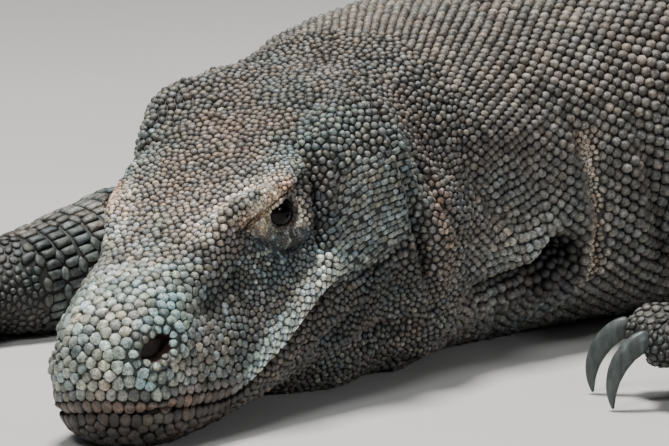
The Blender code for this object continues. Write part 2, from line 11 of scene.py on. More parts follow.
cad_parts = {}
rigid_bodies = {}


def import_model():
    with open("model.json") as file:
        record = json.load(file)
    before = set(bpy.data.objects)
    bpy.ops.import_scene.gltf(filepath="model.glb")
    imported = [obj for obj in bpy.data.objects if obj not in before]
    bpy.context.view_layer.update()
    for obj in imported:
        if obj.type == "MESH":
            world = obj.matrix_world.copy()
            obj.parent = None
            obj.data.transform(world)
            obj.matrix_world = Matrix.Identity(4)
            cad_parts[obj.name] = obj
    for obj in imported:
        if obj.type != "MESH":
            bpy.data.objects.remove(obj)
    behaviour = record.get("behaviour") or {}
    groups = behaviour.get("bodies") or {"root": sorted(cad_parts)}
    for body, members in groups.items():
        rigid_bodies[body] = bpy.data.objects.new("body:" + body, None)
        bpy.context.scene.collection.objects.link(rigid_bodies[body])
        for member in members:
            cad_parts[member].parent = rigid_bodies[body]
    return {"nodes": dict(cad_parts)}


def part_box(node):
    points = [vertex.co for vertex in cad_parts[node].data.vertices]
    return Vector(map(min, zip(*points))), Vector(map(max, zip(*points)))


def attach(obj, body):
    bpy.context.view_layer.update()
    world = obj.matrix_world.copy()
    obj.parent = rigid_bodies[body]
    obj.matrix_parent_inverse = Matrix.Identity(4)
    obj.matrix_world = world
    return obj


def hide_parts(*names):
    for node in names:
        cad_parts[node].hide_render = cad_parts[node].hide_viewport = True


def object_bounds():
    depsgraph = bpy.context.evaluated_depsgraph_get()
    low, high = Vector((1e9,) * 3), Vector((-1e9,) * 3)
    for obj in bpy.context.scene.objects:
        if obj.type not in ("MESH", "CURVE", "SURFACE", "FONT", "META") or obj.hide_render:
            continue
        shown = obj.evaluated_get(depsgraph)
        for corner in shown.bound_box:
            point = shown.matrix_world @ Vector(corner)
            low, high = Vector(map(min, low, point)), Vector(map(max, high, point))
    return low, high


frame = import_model()
CAD_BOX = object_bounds()
NODES = frame["nodes"]

# ---- the animal's own measures, in metres and degrees --------------------------------------------

BODY_LENGTH = 2.46
SPINE_HEADING = [
    (0.000, 63.3), (0.190, 63.3), (0.250, 57), (0.320, 50), (0.420, 43), (0.600, 34), (0.850, 25),
    (1.050, 18), (1.300, 6), (1.600, -12), (1.900, -14), (2.200, 8), (2.460, 34),
]
SPINE_STEP = 0.001
HEAD_PITCH, HEAD_ROLL = math.radians(14.0), math.radians(6.0)
HEAD_LIFT = 0.0150
EYE_RADIUS = 0.0098
EYE_CENTRE = np.array((0.1145, 0.0345, 0.0420))
MOUTH_LINE = [
    (-0.020, 0.0030), (0.000, 0.0030), (0.012, -0.0007), (0.033, -0.0084), (0.055, -0.0145),
    (0.070, -0.0148), (0.082, -0.0122), (0.095, -0.0090), (0.108, -0.0035), (0.121, 0.0016),
    (0.136, 0.0045),
]
NOSTRIL = np.array((0.0190, 0.0258, 0.0238))
HEAD_BACK = 0.240
SIDES = {"left": 1, "right": -1}
LIMBS = ("upper_arm", "forearm", "hand", "thigh", "shin", "foot")
TRUNK = ["neck", "trunk_front", "trunk_rear", "tail_base", "tail_front", "tail_middle", "tail_tip"]
HEAD_NODES = ("head", "lower_jaw")
FLESH = [*HEAD_NODES, *TRUNK, *(f"{limb}_{side}" for side in SIDES for limb in LIMBS)]


# ---- curves and frames ---------------------------------------------------------------------------


def through(table, x):
    """Columns of a table as a smooth curve through its rows, read at x (first column)."""
    rows = np.array(table, float)
    at = np.clip(x, rows[0, 0], rows[-1, 0])
    slopes = np.gradient(rows[:, 1:], rows[:, 0], axis=0)
    i = np.clip(np.searchsorted(rows[:, 0], at) - 1, 0, len(rows) - 2)
    width = (rows[i + 1, 0] - rows[i, 0])[..., None]
    t = (at - rows[i, 0])[..., None] / width
    a, b = rows[i, 1:], rows[i + 1, 1:]
    a_slope, b_slope = slopes[i] * width, slopes[i + 1] * width
    start = (2 * t**3 - 3 * t**2 + 1) * a + (t**3 - 2 * t**2 + t) * a_slope
    return start + (3 * t**2 - 2 * t**3) * b + (t**3 - t**2) * b_slope


def read_at(table, x):
    """The second column of a table, read along straight lines at x (first column)."""
    return np.interp(x, *np.array(table).T)


def unit(vectors):
    return vectors / np.maximum(np.linalg.norm(vectors, axis=-1, keepdims=True), 1e-12)


def dots(a, b):
    """Row by row products of two lists of vectors, as a column."""
    return (a * b).sum(-1, keepdims=True)


def smooth_step(x, low, high):
    t = np.clip((x - low) / (high - low), 0, 1)
    return t * t * (3 - 2 * t)


def bell(x, width):
    return np.exp(-((x / width) ** 2))


def mirrored(places):
    """Places of a frame, with those of the right side laid over on the left."""
    return places * (1, 0, 1) + np.abs(places) * (0, 1, 0)


def box_of(name):
    """Lowest and highest corner of the box round a CAD node."""
    low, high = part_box(name)
    return np.array(low), np.array(high)


def node_centre(name):
    low, high = box_of(name)
    return (low + high) / 2


def head_axes():
    """Back, left and up of the head as the columns of a matrix."""
    heading = math.radians(SPINE_HEADING[0][1])
    back = np.array((math.cos(heading), math.sin(heading), 0))
    level = np.array((back[1], -back[0], 0))
    rise = np.array((0, 0, 1.0))
    tilted = back * math.cos(HEAD_PITCH) + rise * math.sin(HEAD_PITCH)
    upright = rise * math.cos(HEAD_PITCH) - back * math.sin(HEAD_PITCH)
    left = level * math.cos(HEAD_ROLL) + upright * math.sin(HEAD_ROLL)
    up = upright * math.cos(HEAD_ROLL) - level * math.sin(HEAD_ROLL)
    return np.stack([tilted, left, up], 1)


HEAD_AXES = head_axes()
SNOUT = node_centre("eye_left") - HEAD_AXES @ EYE_CENTRE  # front of the mouth line
GROUND_SNOUT = SNOUT - np.array((0, 0, HEAD_LIFT))  # the spine starts under it, on the floor


def to_head(points):
    """World points as back, left and up in the head's frame."""
    return (points - SNOUT) @ HEAD_AXES


def from_head(points):
    return SNOUT + np.asarray(points, float) @ HEAD_AXES.T


def spine_table():
    """Distance from the snout, place on the floor and heading of the spine, at each step."""
    s = np.arange(0.0, BODY_LENGTH + SPINE_STEP, SPINE_STEP)
    heading = np.radians(through(SPINE_HEADING, s)[:, 0])
    steps = np.stack([np.cos(heading), np.sin(heading)], 1) * SPINE_STEP
    return s, np.cumsum(steps, 0) - steps[0] + GROUND_SNOUT[:2], heading


SPINE_AT, SPINE_PLACE, SPINE_TURN = spine_table()


def to_body(points):
    """World points as distance along the spine, distance out to the left of it, and height."""
    coarse = np.arange(0, len(SPINE_AT), 8)
    nearest = np.empty(len(points), int)
    for start in range(0, len(points), 20000):
        part = points[start : start + 20000, None, :2] - SPINE_PLACE[None, coarse]
        nearest[start : start + 20000] = coarse[np.argmin((part**2).sum(-1), 1)]
    for final in (False, False, True):
        ahead = np.stack([np.cos(SPINE_TURN[nearest]), np.sin(SPINE_TURN[nearest])], 1)
        offset = points[:, :2] - SPINE_PLACE[nearest]
        along = (offset * ahead).sum(1)
        if not final:
            steps = np.round(along / SPINE_STEP).astype(int)
            nearest = np.clip(nearest + steps, 0, len(SPINE_AT) - 1)
    out = offset[:, 0] * ahead[:, 1] - offset[:, 1] * ahead[:, 0]
    return np.stack([SPINE_AT[nearest] + along, out, points[:, 2]], 1)


def from_body(points):
    """World points from distance along the spine, out to the left, and height."""
    s, out, height = np.moveaxis(np.asarray(points, float), -1, 0)
    x, y = (np.interp(s, SPINE_AT, SPINE_PLACE[:, k]) for k in (0, 1))
    turn = np.interp(s, SPINE_AT, SPINE_TURN)
    return np.stack([x + out * np.sin(turn), y - out * np.cos(turn), height], -1)


def spine_direction(s):
    turn = np.interp(s, SPINE_AT, SPINE_TURN)
    return np.stack([np.cos(turn), np.sin(turn), np.zeros_like(turn)], -1)


def noise_at(points, size, seed=0.0):
    """Smooth noise of about -1 to 1 at each point, with bumps of the given size."""
    shift = Vector((seed * 7.31, seed * 3.77, seed * 5.13))
    return np.array([noise.noise(Vector(p) / size + shift) for p in points])


# ---- meshes as arrays ----------------------------------------------------------------------------

WELD_CELL = 2e-6  # points of a solid that fall in one cell of this width are one point


def read(items, name, width, kind=np.float32):
    """One property of every item of a mesh, in rows of the given width."""
    values = np.empty(len(items) * width, kind)
    items.foreach_get(name, values)
    return values.reshape(-1, width)


def points_of(mesh):
    return read(mesh.vertices, "co", 3).astype(float)


def normals_of(mesh):
    return read(mesh.vertices, "normal", 3).astype(float)


def edges_of(mesh):
    return read(mesh.edges, "vertices", 2, np.int32)


def triangles_of(mesh):
    mesh.calc_loop_triangles()
    return read(mesh.loop_triangles, "vertices", 3, np.int32)


def set_points(mesh, points):
    mesh.vertices.foreach_set("co", np.ascontiguousarray(points, np.float32).ravel())
    mesh.update()


def added(name, data):
    """A new object of the scene that shows the data."""
    obj = bpy.data.objects.new(name, data)
    bpy.context.scene.collection.objects.link(obj)
    return obj


def mesh_object(name, points, faces):
    """A mesh object from arrays; all faces have the same number of corners."""
    mesh = bpy.data.meshes.new(name)
    corners = faces.shape[1]
    mesh.vertices.add(len(points))
    mesh.vertices.foreach_set("co", np.ascontiguousarray(points, np.float32).ravel())
    mesh.loops.add(faces.size)
    mesh.loops.foreach_set("vertex_index", np.ascontiguousarray(faces, np.int32).ravel())
    mesh.polygons.add(len(faces))
    mesh.polygons.foreach_set("loop_start", np.arange(0, faces.size, corners, dtype=np.int32))
    mesh.polygons.foreach_set("loop_total", np.full(len(faces), corners, np.int32))
    mesh.update(calc_edges=True)
    mesh.validate()
    return added(name, mesh)


def node_arrays(name):
    """Welded points and triangles of a CAD node."""
    points, corners = points_of(NODES[name].data), triangles_of(NODES[name].data)
    cells = np.round(points / WELD_CELL).astype(np.int64)
    _, first, again = np.unique(cells, axis=0, return_index=True, return_inverse=True)
    a, b, c = again.reshape(-1)[corners].T
    return points[first], np.stack([a, b, c], 1)[(a != b) & (b != c) & (c != a)]


def joined_nodes(names):
    """Points and triangles of CAD nodes in one set, and each triangle's place in the list."""
    points, triangles, owner = [], [], []
    count = 0
    for k, name in enumerate(names):
        node_points, node_triangles = node_arrays(name)
        points.append(node_points)
        triangles.append(node_triangles + count)
        owner.append(np.full(len(node_triangles), k))
        count += len(node_points)
    return np.concatenate(points), np.concatenate(triangles), np.concatenate(owner)


def face_tree(points, triangles):
    return bvhtree.BVHTree.FromPolygons(points.tolist(), triangles.tolist())


def point_tree(points, numbers):
    """A tree to look up those of the points that have the given numbers."""
    tree = kdtree.KDTree(len(numbers))
    for number in numbers:
        tree.insert(points[number], number)
    tree.balance()
    return tree


def averaged(values, edges, rounds, share=0.5):
    """Values at the points of a mesh, each mixed with the mean of its neighbours, a few times."""
    count = len(values)
    degree = np.bincount(edges.ravel(), minlength=count)[:, None]
    a, b = edges[:, 0], edges[:, 1]
    share = np.reshape(share, (-1, 1)) if np.ndim(share) else share
    for _ in range(rounds):
        total = np.stack([np.bincount(a, column[b], count) + np.bincount(b, column[a], count)
            for column in values.T], 1)
        values = values + share * (total / np.maximum(degree, 1) - values)
    return values


def evened(points, edges, rounds, share=0.5):
    """Points smoothed without shrinking: each round pulls in and then pushes out a little more."""
    for _ in range(rounds):
        points = averaged(points, edges, 1, share)
        points = averaged(points, edges, 1, -1.04 * share)
    return points


# ---- the skin's body, from the CAD solids --------------------------------------------------------

SEAM_REACH = 0.0012  # a face with another node this close in front of it belongs to a parting cut
CLOSE_CUTS = 0.00035  # how far each solid is swelled to close the cuts
MOST_BULGE = 0.0035  # most that the middle of a flat edge is raised when solids are rounded
RIM_REACH = 0.0010  # rims of two solids this close share their corner normals
SKIN_VOXEL = 0.0063
EVEN_ROUNDS, REAR_ROUNDS = 14, 30  # rounds of smoothing of the whole skin, and behind the neck
REAR_FROM = (0.26, 0.34)  # along the spine, where the smoothing of the rear sets in
THIN_TAIL = 1.95  # along the spine, where the thin end of the tail begins
TAIL_SWELL = 6.0  # the tip of the tail is made this much thicker while the solids are joined
DETAIL_END, DETAIL_WIDTH = 0.40, 0.115  # part of the body with a finer mesh, along and out
PLAIN_FROM, PLAIN_WIDTH = (0.62, 0.72), 0.17  # part of the body with a coarser mesh
PLAIN_FACES = 0.55  # share of the faces that is kept there


def flesh_arrays():
    """All flesh solids in one set of arrays, with a flag for the faces that lie in a cut."""
    names = list(NODES)
    points, triangles, owner = joined_nodes(names)
    tree = face_tree(points, triangles)
    a, b, c = (points[triangles[:, k]] for k in range(3))
    normals = unit(np.cross(b - a, c - a))
    middles = (a + b + c) / 3
    flesh = np.array([names[k] in FLESH or names[k].startswith("eye") for k in owner])
    hidden = np.zeros(len(triangles), bool)
    for i in np.nonzero(flesh)[0]:
        start = Vector(middles[i] + normals[i] * 2e-5)
        hit = tree.ray_cast(start, Vector(normals[i]), SEAM_REACH)
        hidden[i] = hit[2] is not None and owner[hit[2]] != owner[i]
    return points, triangles[flesh], hidden[flesh], normals[flesh]


def rounded(points, triangles, hidden, normals, levels):
    """The solids with each flat facet swelled into the curve that its corner normals ask for."""
    outer = ~hidden
    sums = np.zeros_like(points)
    for k in range(3):
        a, b, c = (points[triangles[:, (k + j) % 3]] for j in range(3))
        angle = np.arccos(np.clip((unit(b - a) * unit(c - a)).sum(1), -1, 1))
        np.add.at(sums, triangles[outer, k], normals[outer] * angle[outer, None])
    rim = np.intersect1d(triangles[hidden], triangles[outer])
    tree = point_tree(points.tolist(), rim.tolist())
    shared = sums.copy()
    for i in rim:
        for _, j, _ in tree.find_range(Vector(points[i]), RIM_REACH):
            if j != i:
                shared[i] += sums[j]
    corner_normals = unit(shared)
    corner_normals[np.linalg.norm(shared, axis=1) < 1e-9] = 0
    for _ in range(levels):
        pairs = np.sort(np.concatenate([triangles[:, [k, (k + 1) % 3]] for k in range(3)]), 1)
        edges, which = np.unique(pairs, axis=0, return_inverse=True)
        which = which.reshape(3, -1)
        curved = np.zeros((len(edges), 1), bool)
        curved[which[:, ~hidden].ravel()] = True
        p, q = points[edges[:, 0]], points[edges[:, 1]]
        m, n = corner_normals[edges[:, 0]], corner_normals[edges[:, 1]]
        along = q - p
        bulge = -(m * dots(along, m) - n * dots(along, n)) / 8
        size = np.linalg.norm(bulge, axis=1, keepdims=True)
        bulge *= np.minimum(1, MOST_BULGE / np.maximum(size, 1e-9))
        lean = 2 * dots(along, m + n) / np.maximum(dots(along, along), 1e-12)
        ab, bc, ca = which + len(points)
        points = np.concatenate([points, (p + q) / 2 + bulge * curved])
        corner_normals = np.concatenate([corner_normals, unit(m + n - lean * along) * curved])
        a, b, c = triangles.T
        parts = ((a, ab, ca), (ab, b, bc), (ca, bc, c), (ab, bc, ca))
        triangles = np.concatenate([np.stack(part, 1) for part in parts])
        hidden = np.tile(hidden, 4)
    return points, triangles


def with_modifier(obj, kind, **settings):
    """The object with one modifier applied."""
    modifier = obj.modifiers.new(kind.lower(), kind)
    for key, value in settings.items():
        setattr(modifier, key, value)
    graph = bpy.context.evaluated_depsgraph_get()
    mesh = bpy.data.meshes.new_from_object(obj.evaluated_get(graph))
    obj.modifiers.clear()
    old = obj.data
    obj.data = mesh
    bpy.data.meshes.remove(old)
    return obj


def largest_body(mesh):
    """Drop every separate body of the mesh but the largest one."""
    edges = edges_of(mesh)
    label = np.arange(len(mesh.vertices))
    while True:
        low = np.minimum(label[edges[:, 0]], label[edges[:, 1]])
        before = label.copy()
        np.minimum.at(label, edges[:, 0], low)
        np.minimum.at(label, edges[:, 1], low)
        label = label[label]
        if (label == before).all():
            break
    main = np.bincount(label).argmax()
    bm = bmesh.new()
    bm.from_mesh(mesh)
    bm.verts.ensure_lookup_table()
    bmesh.ops.delete(bm, geom=[bm.verts[i] for i in np.nonzero(label != main)[0]], context="VERTS")
    bm.to_mesh(mesh)
    bm.free()


def refined(obj, wanted):
    """Split the faces whose middle is wanted into smaller ones."""
    bm = bmesh.new()
    bm.from_mesh(obj.data)
    chosen = wanted(np.array([f.calc_center_median() for f in bm.faces]))
    edges = {e for f, use in zip(bm.faces, chosen) if use for e in f.edges}
    bmesh.ops.subdivide_edges(bm, edges=list(edges), cuts=1, use_grid_fill=True)
    bm.to_mesh(obj.data)
    bm.free()


def needs_detail(points):
    """Places of the head, neck, hands and feet, which need a finer mesh than the rest."""
    s, out, _ = to_body(points).T
    fine = (s < DETAIL_END) & (np.abs(out) < DETAIL_WIDTH)
    for name in (f"{limb}_{side}" for side in SIDES for limb in ("hand", "foot")):
        low, high = box_of(name)
        fine |= ((points > low - 0.003) & (points < high + 0.003)).all(1)
    return fine


def on_head(points):
    back, out, up = to_head(points).T
    return (back < 0.205) & (np.abs(out) < 0.08) & (up > -0.07)


def fine_places(points):
    """Places of the head that need the finest mesh: eyes, nostrils and lips."""
    head = mirrored(to_head(points))
    eye = np.linalg.norm(head - EYE_CENTRE, axis=1) < EYE_RADIUS + 0.007
    nostril = np.linalg.norm(head - NOSTRIL, axis=1) < 0.010
    lip = (np.abs(head[:, 2] - mouth_level(head[:, 0])) < 0.0032) & (head[:, 0] < 0.138)
    return eye | nostril | lip


def thin_out(skin):
    """Fewer, larger faces on the trunk, thighs and tail, where the form is plain."""
    s, out, _ = to_body(points_of(skin.data)).T
    plain = smooth_step(s, *PLAIN_FROM) * (np.abs(out) < PLAIN_WIDTH)
    group = skin.vertex_groups.new(name="plain")
    for share in (0.5, 1.0):
        group.add(np.nonzero(plain >= share)[0].tolist(), share, "REPLACE")
    with_modifier(skin, "DECIMATE", ratio=PLAIN_FACES, vertex_group="plain",
        vertex_group_factor=1.0)
    skin.vertex_groups.clear()


def mouth_level(back):
    return through(MOUTH_LINE, back)[:, 0]


def thicken_tail(points, back=False):
    """Make the thin end of the tail thicker round its own middle, or take that back again."""
    body = to_body(points)
    factor = 1 + TAIL_SWELL * smooth_step(body[:, 0], THIN_TAIL, BODY_LENGTH)
    factor = np.where(np.abs(body[:, 1]) < 0.08, factor, 1.0)
    if back:
        factor = 1 / factor
    moved = from_body(body * np.stack([np.ones_like(factor), factor, factor], 1))
    return np.where((body[:, 0] > THIN_TAIL)[:, None], moved, points)


def make_skin():
    """One closed skin round all flesh solids: curved, joined, and finer at the head and neck."""
    points, triangles = rounded(*flesh_arrays(), 2)
    skin = mesh_object("skin", thicken_tail(points), triangles)
    set_points(skin.data, points_of(skin.data) + normals_of(skin.data) * CLOSE_CUTS)
    with_modifier(skin, "REMESH", mode="VOXEL", voxel_size=SKIN_VOXEL, adaptivity=0.0)
    largest_body(skin.data)
    points, edges = points_of(skin.data), edges_of(skin.data)
    points = evened(points, edges, EVEN_ROUNDS)
    rear = smooth_step(to_body(points)[:, 0], *REAR_FROM)
    points = evened(points, edges, REAR_ROUNDS, 0.5 * rear)
    set_points(skin.data, thicken_tail(points, True))
    thin_out(skin)
    refined(skin, needs_detail)
    refined(skin, on_head)
    set_points(skin.data, averaged(points_of(skin.data), edges_of(skin.data), 3, 0.4))
    refined(skin, fine_places)
    return skin


# ---- folds, lids, lips and nostrils --------------------------------------------------------------

# Lines of folds. Places of the head are back, out, up; of the body they are distance along the
# spine, out, height. Both sides have them.
BROW_CREASE = [(0.084, 0.028, 0.0425), (0.091, 0.031, 0.0450), (0.0975, 0.034, 0.0474),
    (0.1025, 0.0367, 0.0498), (0.108, 0.0396, 0.0518), (0.115, 0.043, 0.0530),
    (0.124, 0.0440, 0.0531), (0.136, 0.0440, 0.0530)]
ORBIT_FOLD = [(0.0890, 0.031, 0.0455), (0.0945, 0.034, 0.0405), (0.1002, 0.0371, 0.0358),
    (0.106, 0.0395, 0.0305), (0.112, 0.042, 0.0270), (0.1206, 0.0445, 0.0271),
    (0.129, 0.046, 0.0315)]
# Creases as (frame, depth, width, line). A crease has a low rim on each side.
CREASES = [
    ("head", 0.0072, 0.0040, [(0.206, 0.024, 0.0690), (0.200, 0.033, 0.0665),
        (0.1985, 0.0376, 0.0647), (0.196, 0.0442, 0.0604), (0.191, 0.0522, 0.0562),
        (0.187, 0.058, 0.0507), (0.185, 0.0616, 0.0426), (0.185, 0.0635, 0.0326),
        (0.186, 0.063, 0.0206), (0.188, 0.062, 0.009), (0.189, 0.062, -0.003),
        (0.191, 0.061, -0.016), (0.200, 0.054, -0.034), (0.204, 0.050, -0.048)]),
    ("head", 0.0026, 0.0060, [(0.150, 0.035, 0.0615), (0.162, 0.032, 0.0640),
        (0.176, 0.029, 0.0665), (0.192, 0.025, 0.0680)]),
    ("head", 0.0080, 0.0036, [(0.149, 0.034, 0.065), (0.1455, 0.039, 0.060),
        (0.1405, 0.043, 0.050), (0.1365, 0.045, 0.0405), (0.1335, 0.046, 0.033),
        (0.128, 0.047, 0.020), (0.122, 0.046, 0.012)]),
    ("head", 0.0064, 0.0024, BROW_CREASE),
    ("head", 0.0032, 0.0022, ORBIT_FOLD),
    ("head", 0.0042, 0.0100, [(0.042, 0.030, 0.024), (0.062, 0.034, 0.025), (0.084, 0.036, 0.028),
        (0.104, 0.039, 0.026)]),
    ("head", 0.0036, 0.0026, [(0.134, 0.049, 0.0045), (0.150, 0.051, 0.002),
        (0.162, 0.0535, 0.0005), (0.177, 0.058, 0.002), (0.189, 0.061, 0.003)]),
    ("head", 0.0050, 0.0046, [(0.112, 0.037, -0.020), (0.138, 0.042, -0.016),
        (0.158, 0.045, -0.016), (0.176, 0.049, -0.0165)]),
    ("head", 0.0044, 0.0040, [(0.158, 0.036, -0.0345), (0.180, 0.040, -0.038),
        (0.198, 0.046, -0.041)]),
    ("head", 0.0036, 0.0040, [(0.147, 0.030, -0.042), (0.170, 0.034, -0.052),
        (0.191, 0.037, -0.062), (0.225, 0.032, -0.072), (0.251, 0.026, -0.080)]),
    ("body", 0.0052, 0.0032, [(0.184, 0.056, 0.109), (0.195, 0.059, 0.096), (0.196, 0.064, 0.086),
        (0.202, 0.068, 0.075), (0.214, 0.069, 0.062), (0.231, 0.064, 0.046),
        (0.242, 0.061, 0.038)]),
    ("body", 0.0036, 0.0032, [(0.222, 0.062, 0.112), (0.236, 0.067, 0.086), (0.256, 0.068, 0.066),
        (0.282, 0.070, 0.056)]),
    ("body", 0.0085, 0.0056, [(0.322, 0.073, 0.034), (0.308, 0.073, 0.043), (0.296, 0.071, 0.044),
        (0.284, 0.067, 0.038), (0.266, 0.064, 0.034), (0.243, 0.062, 0.031),
        (0.228, 0.060, 0.028)]),
    ("body", 0.0125, 0.0080, [(0.324, 0.070, 0.036), (0.313, 0.072, 0.0440),
        (0.303, 0.074, 0.0490), (0.296, 0.074, 0.0470), (0.288, 0.071, 0.0390),
        (0.278, 0.069, 0.032)]),
    ("body", 0.0036, 0.0040, [(0.262, 0.060, 0.028), (0.274, 0.058, 0.020),
        (0.286, 0.050, 0.012)]),
    ("body", 0.0056, 0.0044, [(0.308, 0.077, 0.112), (0.315, 0.0735, 0.090),
        (0.3215, 0.0735, 0.076), (0.326, 0.075, 0.062), (0.330, 0.0745, 0.047),
        (0.338, 0.070, 0.028)]),
    ("body", 0.0050, 0.0066, [(0.345, 0.082, 0.118), (0.352, 0.087, 0.092), (0.362, 0.088, 0.066),
        (0.374, 0.082, 0.040), (0.388, 0.066, 0.014)]),
    ("body", 0.0024, 0.0050, [(0.270, 0.071, 0.104), (0.276, 0.073, 0.090),
        (0.288, 0.074, 0.078)]),
    ("body", 0.0024, 0.0060, [(0.500, 0.118, 0.110), (0.512, 0.124, 0.080),
        (0.520, 0.120, 0.040)]),
    ("body", 0.0022, 0.0050, [(0.560, 0.127, 0.052), (0.660, 0.138, 0.044),
        (0.800, 0.140, 0.046)]),
    ("body", 0.0020, 0.0050, [(0.540, 0.118, 0.030), (0.680, 0.132, 0.024),
        (0.820, 0.132, 0.026)]),
    ("body", 0.0026, 0.0060, [(0.850, 0.136, 0.110), (0.842, 0.140, 0.080),
        (0.850, 0.136, 0.040)]),
]
# Swellings as (frame, height, reach, line); those of the frame "right" are on the right side only.
SWELLINGS = [
    ("head", 0.0074, 0.0046, [(0.074, 0.024, 0.0460), (0.0868, 0.0275, 0.0500),
        (0.0949, 0.030, 0.0525), (0.1015, 0.0335, 0.0542), (0.1072, 0.037, 0.0556),
        (0.1117, 0.0395, 0.0566), (0.120, 0.0415, 0.0580), (0.130, 0.0415, 0.0600)]),
    ("head", 0.0036, 0.0072, [(0.126, 0.0385, 0.0600), (0.133, 0.0375, 0.0610)]),
    ("head", 0.0018, 0.0050, [(0.052, 0.033, -0.006), (0.080, 0.037, -0.001),
        (0.106, 0.043, 0.004), (0.130, 0.048, 0.010)]),
    ("head", 0.0016, 0.0040, [(0.138, 0.050, 0.009), (0.158, 0.054, 0.0060),
        (0.178, 0.060, 0.0075)]),
    ("head", 0.0022, 0.0042, [(0.112, 0.041, -0.013), (0.126, 0.0457, -0.0075),
        (0.145, 0.048, -0.0070), (0.165, 0.050, -0.0080)]),
    ("head", 0.0024, 0.0050, [(0.128, 0.037, -0.0265), (0.150, 0.037, -0.0265),
        (0.178, 0.042, -0.029)]),
    ("head", 0.0014, 0.0045, [(0.034, 0.028, 0.031), (0.046, 0.029, 0.036), (0.062, 0.029, 0.041),
        (0.080, 0.030, 0.046)]),
    ("head", 0.0036, 0.0090, [(0.186, 0.043, 0.0600), (0.177, 0.054, 0.0500),
        (0.173, 0.060, 0.036), (0.174, 0.061, 0.022), (0.176, 0.061, 0.010)]),
    ("head", 0.0044, 0.0095, [(0.150, 0.042, 0.0575), (0.164, 0.042, 0.0605),
        (0.178, 0.0425, 0.0625), (0.190, 0.039, 0.0645)]),
    ("right", 0.0078, 0.0170, [(0.160, 0.040, 0.0630), (0.182, 0.036, 0.0650),
        (0.204, 0.034, 0.0660), (0.226, 0.034, 0.0660)]),
    ("right", -0.0040, 0.0070, [(0.074, 0.024, 0.0460), (0.0949, 0.030, 0.0525),
        (0.1117, 0.0395, 0.0566), (0.130, 0.0415, 0.0600)]),
    ("body", 0.0048, 0.0070, [(0.214, 0.066, 0.086), (0.222, 0.069, 0.072), (0.245, 0.069, 0.058),
        (0.276, 0.071, 0.051), (0.296, 0.074, 0.055)]),
    ("body", 0.0034, 0.0070, [(0.196, 0.066, 0.066), (0.214, 0.066, 0.050),
        (0.236, 0.060, 0.036)]),
    ("body", 0.0030, 0.0110, [(0.345, 0.083, 0.100), (0.350, 0.086, 0.070),
        (0.356, 0.082, 0.040)]),
]
RIM_PLACE, RIM_WIDTH, RIM_HEIGHT = 2.0, 0.95, 0.26  # rims of a crease, in widths and depths
GROOVE_DEPTH, GROOVE_WIDTH = 0.0032, 0.0013  # between the lips
LIP_PLACE, LIP_WIDTH, LIP_HEIGHT = 0.0042, 0.0028, 0.0009
COAT_DEPTH = [(0.0, 0.0006), (0.22, 0.0009), (0.30, 0.0014), (1.10, 0.0014), (2.46, 0.0007)]
SKIN_LOWEST, SCALE_LOWEST = 0.0006, 0.0002  # least height of the skin and of scales on the floor

EYE_AIM = np.array((-0.32, 0.94, 0.09))  # the way the left eye looks: back, out, up
EYE_SHIFT = np.array((0.0, 0.0004, 0.0024))  # from the solid's place to where the photo has it
LID_LENGTH, LID_RISE, LID_DROP = math.radians(45), math.radians(40), math.radians(39)
LID_THICKNESS, LID_LIFT = 0.0008, 0.0008
BROW_EDGE = [(0.090, 0.0305, 0.0470), (0.0965, 0.0336, 0.0492), (0.1025, 0.0371, 0.0516),
    (0.108, 0.0401, 0.0535), (0.114, 0.0430, 0.0548), (0.121, 0.0440, 0.0551),
    (0.130, 0.0440, 0.0560)]
BROW_PUSH, BROW_REACH = np.array((0.0, 0.0038, -0.0016)), 0.0030
NOSTRIL_AIM = np.array((-0.46, 0.84, 0.28))
NOSTRIL_LONG, NOSTRIL_WIDE, NOSTRIL_DEPTH = 0.0086, 0.0048, 0.0085
NOSTRIL_RIM = 0.0030
NOSTRIL_SLANT = math.radians(6)


def distance_to_line(points, line):
    """Distance of points from a chain of straight pieces, and 0 to 1 for how far from its ends."""
    line = np.array(line, float)
    gaps = np.linalg.norm(np.diff(line, axis=0), axis=1)
    reach = np.concatenate([[0], np.cumsum(gaps)])
    best = np.full(len(points), np.inf)
    place = np.zeros(len(points))
    for a, b, start in zip(line, line[1:], reach):
        along = b - a
        t = np.clip((points - a) @ along / (along @ along), 0, 1)
        distance = np.linalg.norm(points - a - t[:, None] * along, axis=1)
        closer = distance < best
        best = np.where(closer, distance, best)
        place = np.where(closer, start + t * np.linalg.norm(along), place)
    share = place / reach[-1]
    return best, smooth_step(np.minimum(share, 1 - share), -0.02, 0.30)


def near_line(points, line, margin):
    """Indices of the points in the box round a line, with a margin."""
    line = np.array(line)
    inside = (points > line.min(0) - margin) & (points < line.max(0) + margin)
    return np.nonzero(inside.all(1))[0]


def fold_heights(points):
    """How far folds raise or lower each point of the skin, along its normal."""
    head, body = to_head(points), to_body(points)
    frames = {"head": mirrored(head), "right": head * (1, -1, 1), "body": mirrored(body)}
    total = np.zeros(len(points))
    wobble = noise_at(points, 0.012, 3) * 0.0012
    for frame_name, depth, width, line in CREASES:
        part = near_line(frames[frame_name], line, 5 * width)
        distance, inner = distance_to_line(frames[frame_name][part], line)
        x = (distance + wobble[part]) / width
        rims = RIM_HEIGHT * bell(np.abs(x) - RIM_PLACE, RIM_WIDTH)
        total[part] += depth * inner * (rims - bell(x, 1))
    for frame_name, height, reach, line in SWELLINGS:
        part = near_line(frames[frame_name], line, 3 * reach)
        distance, inner = distance_to_line(frames[frame_name][part], line)
        total[part] += height * (0.4 + 0.6 * inner) * bell(distance, reach)
    return total


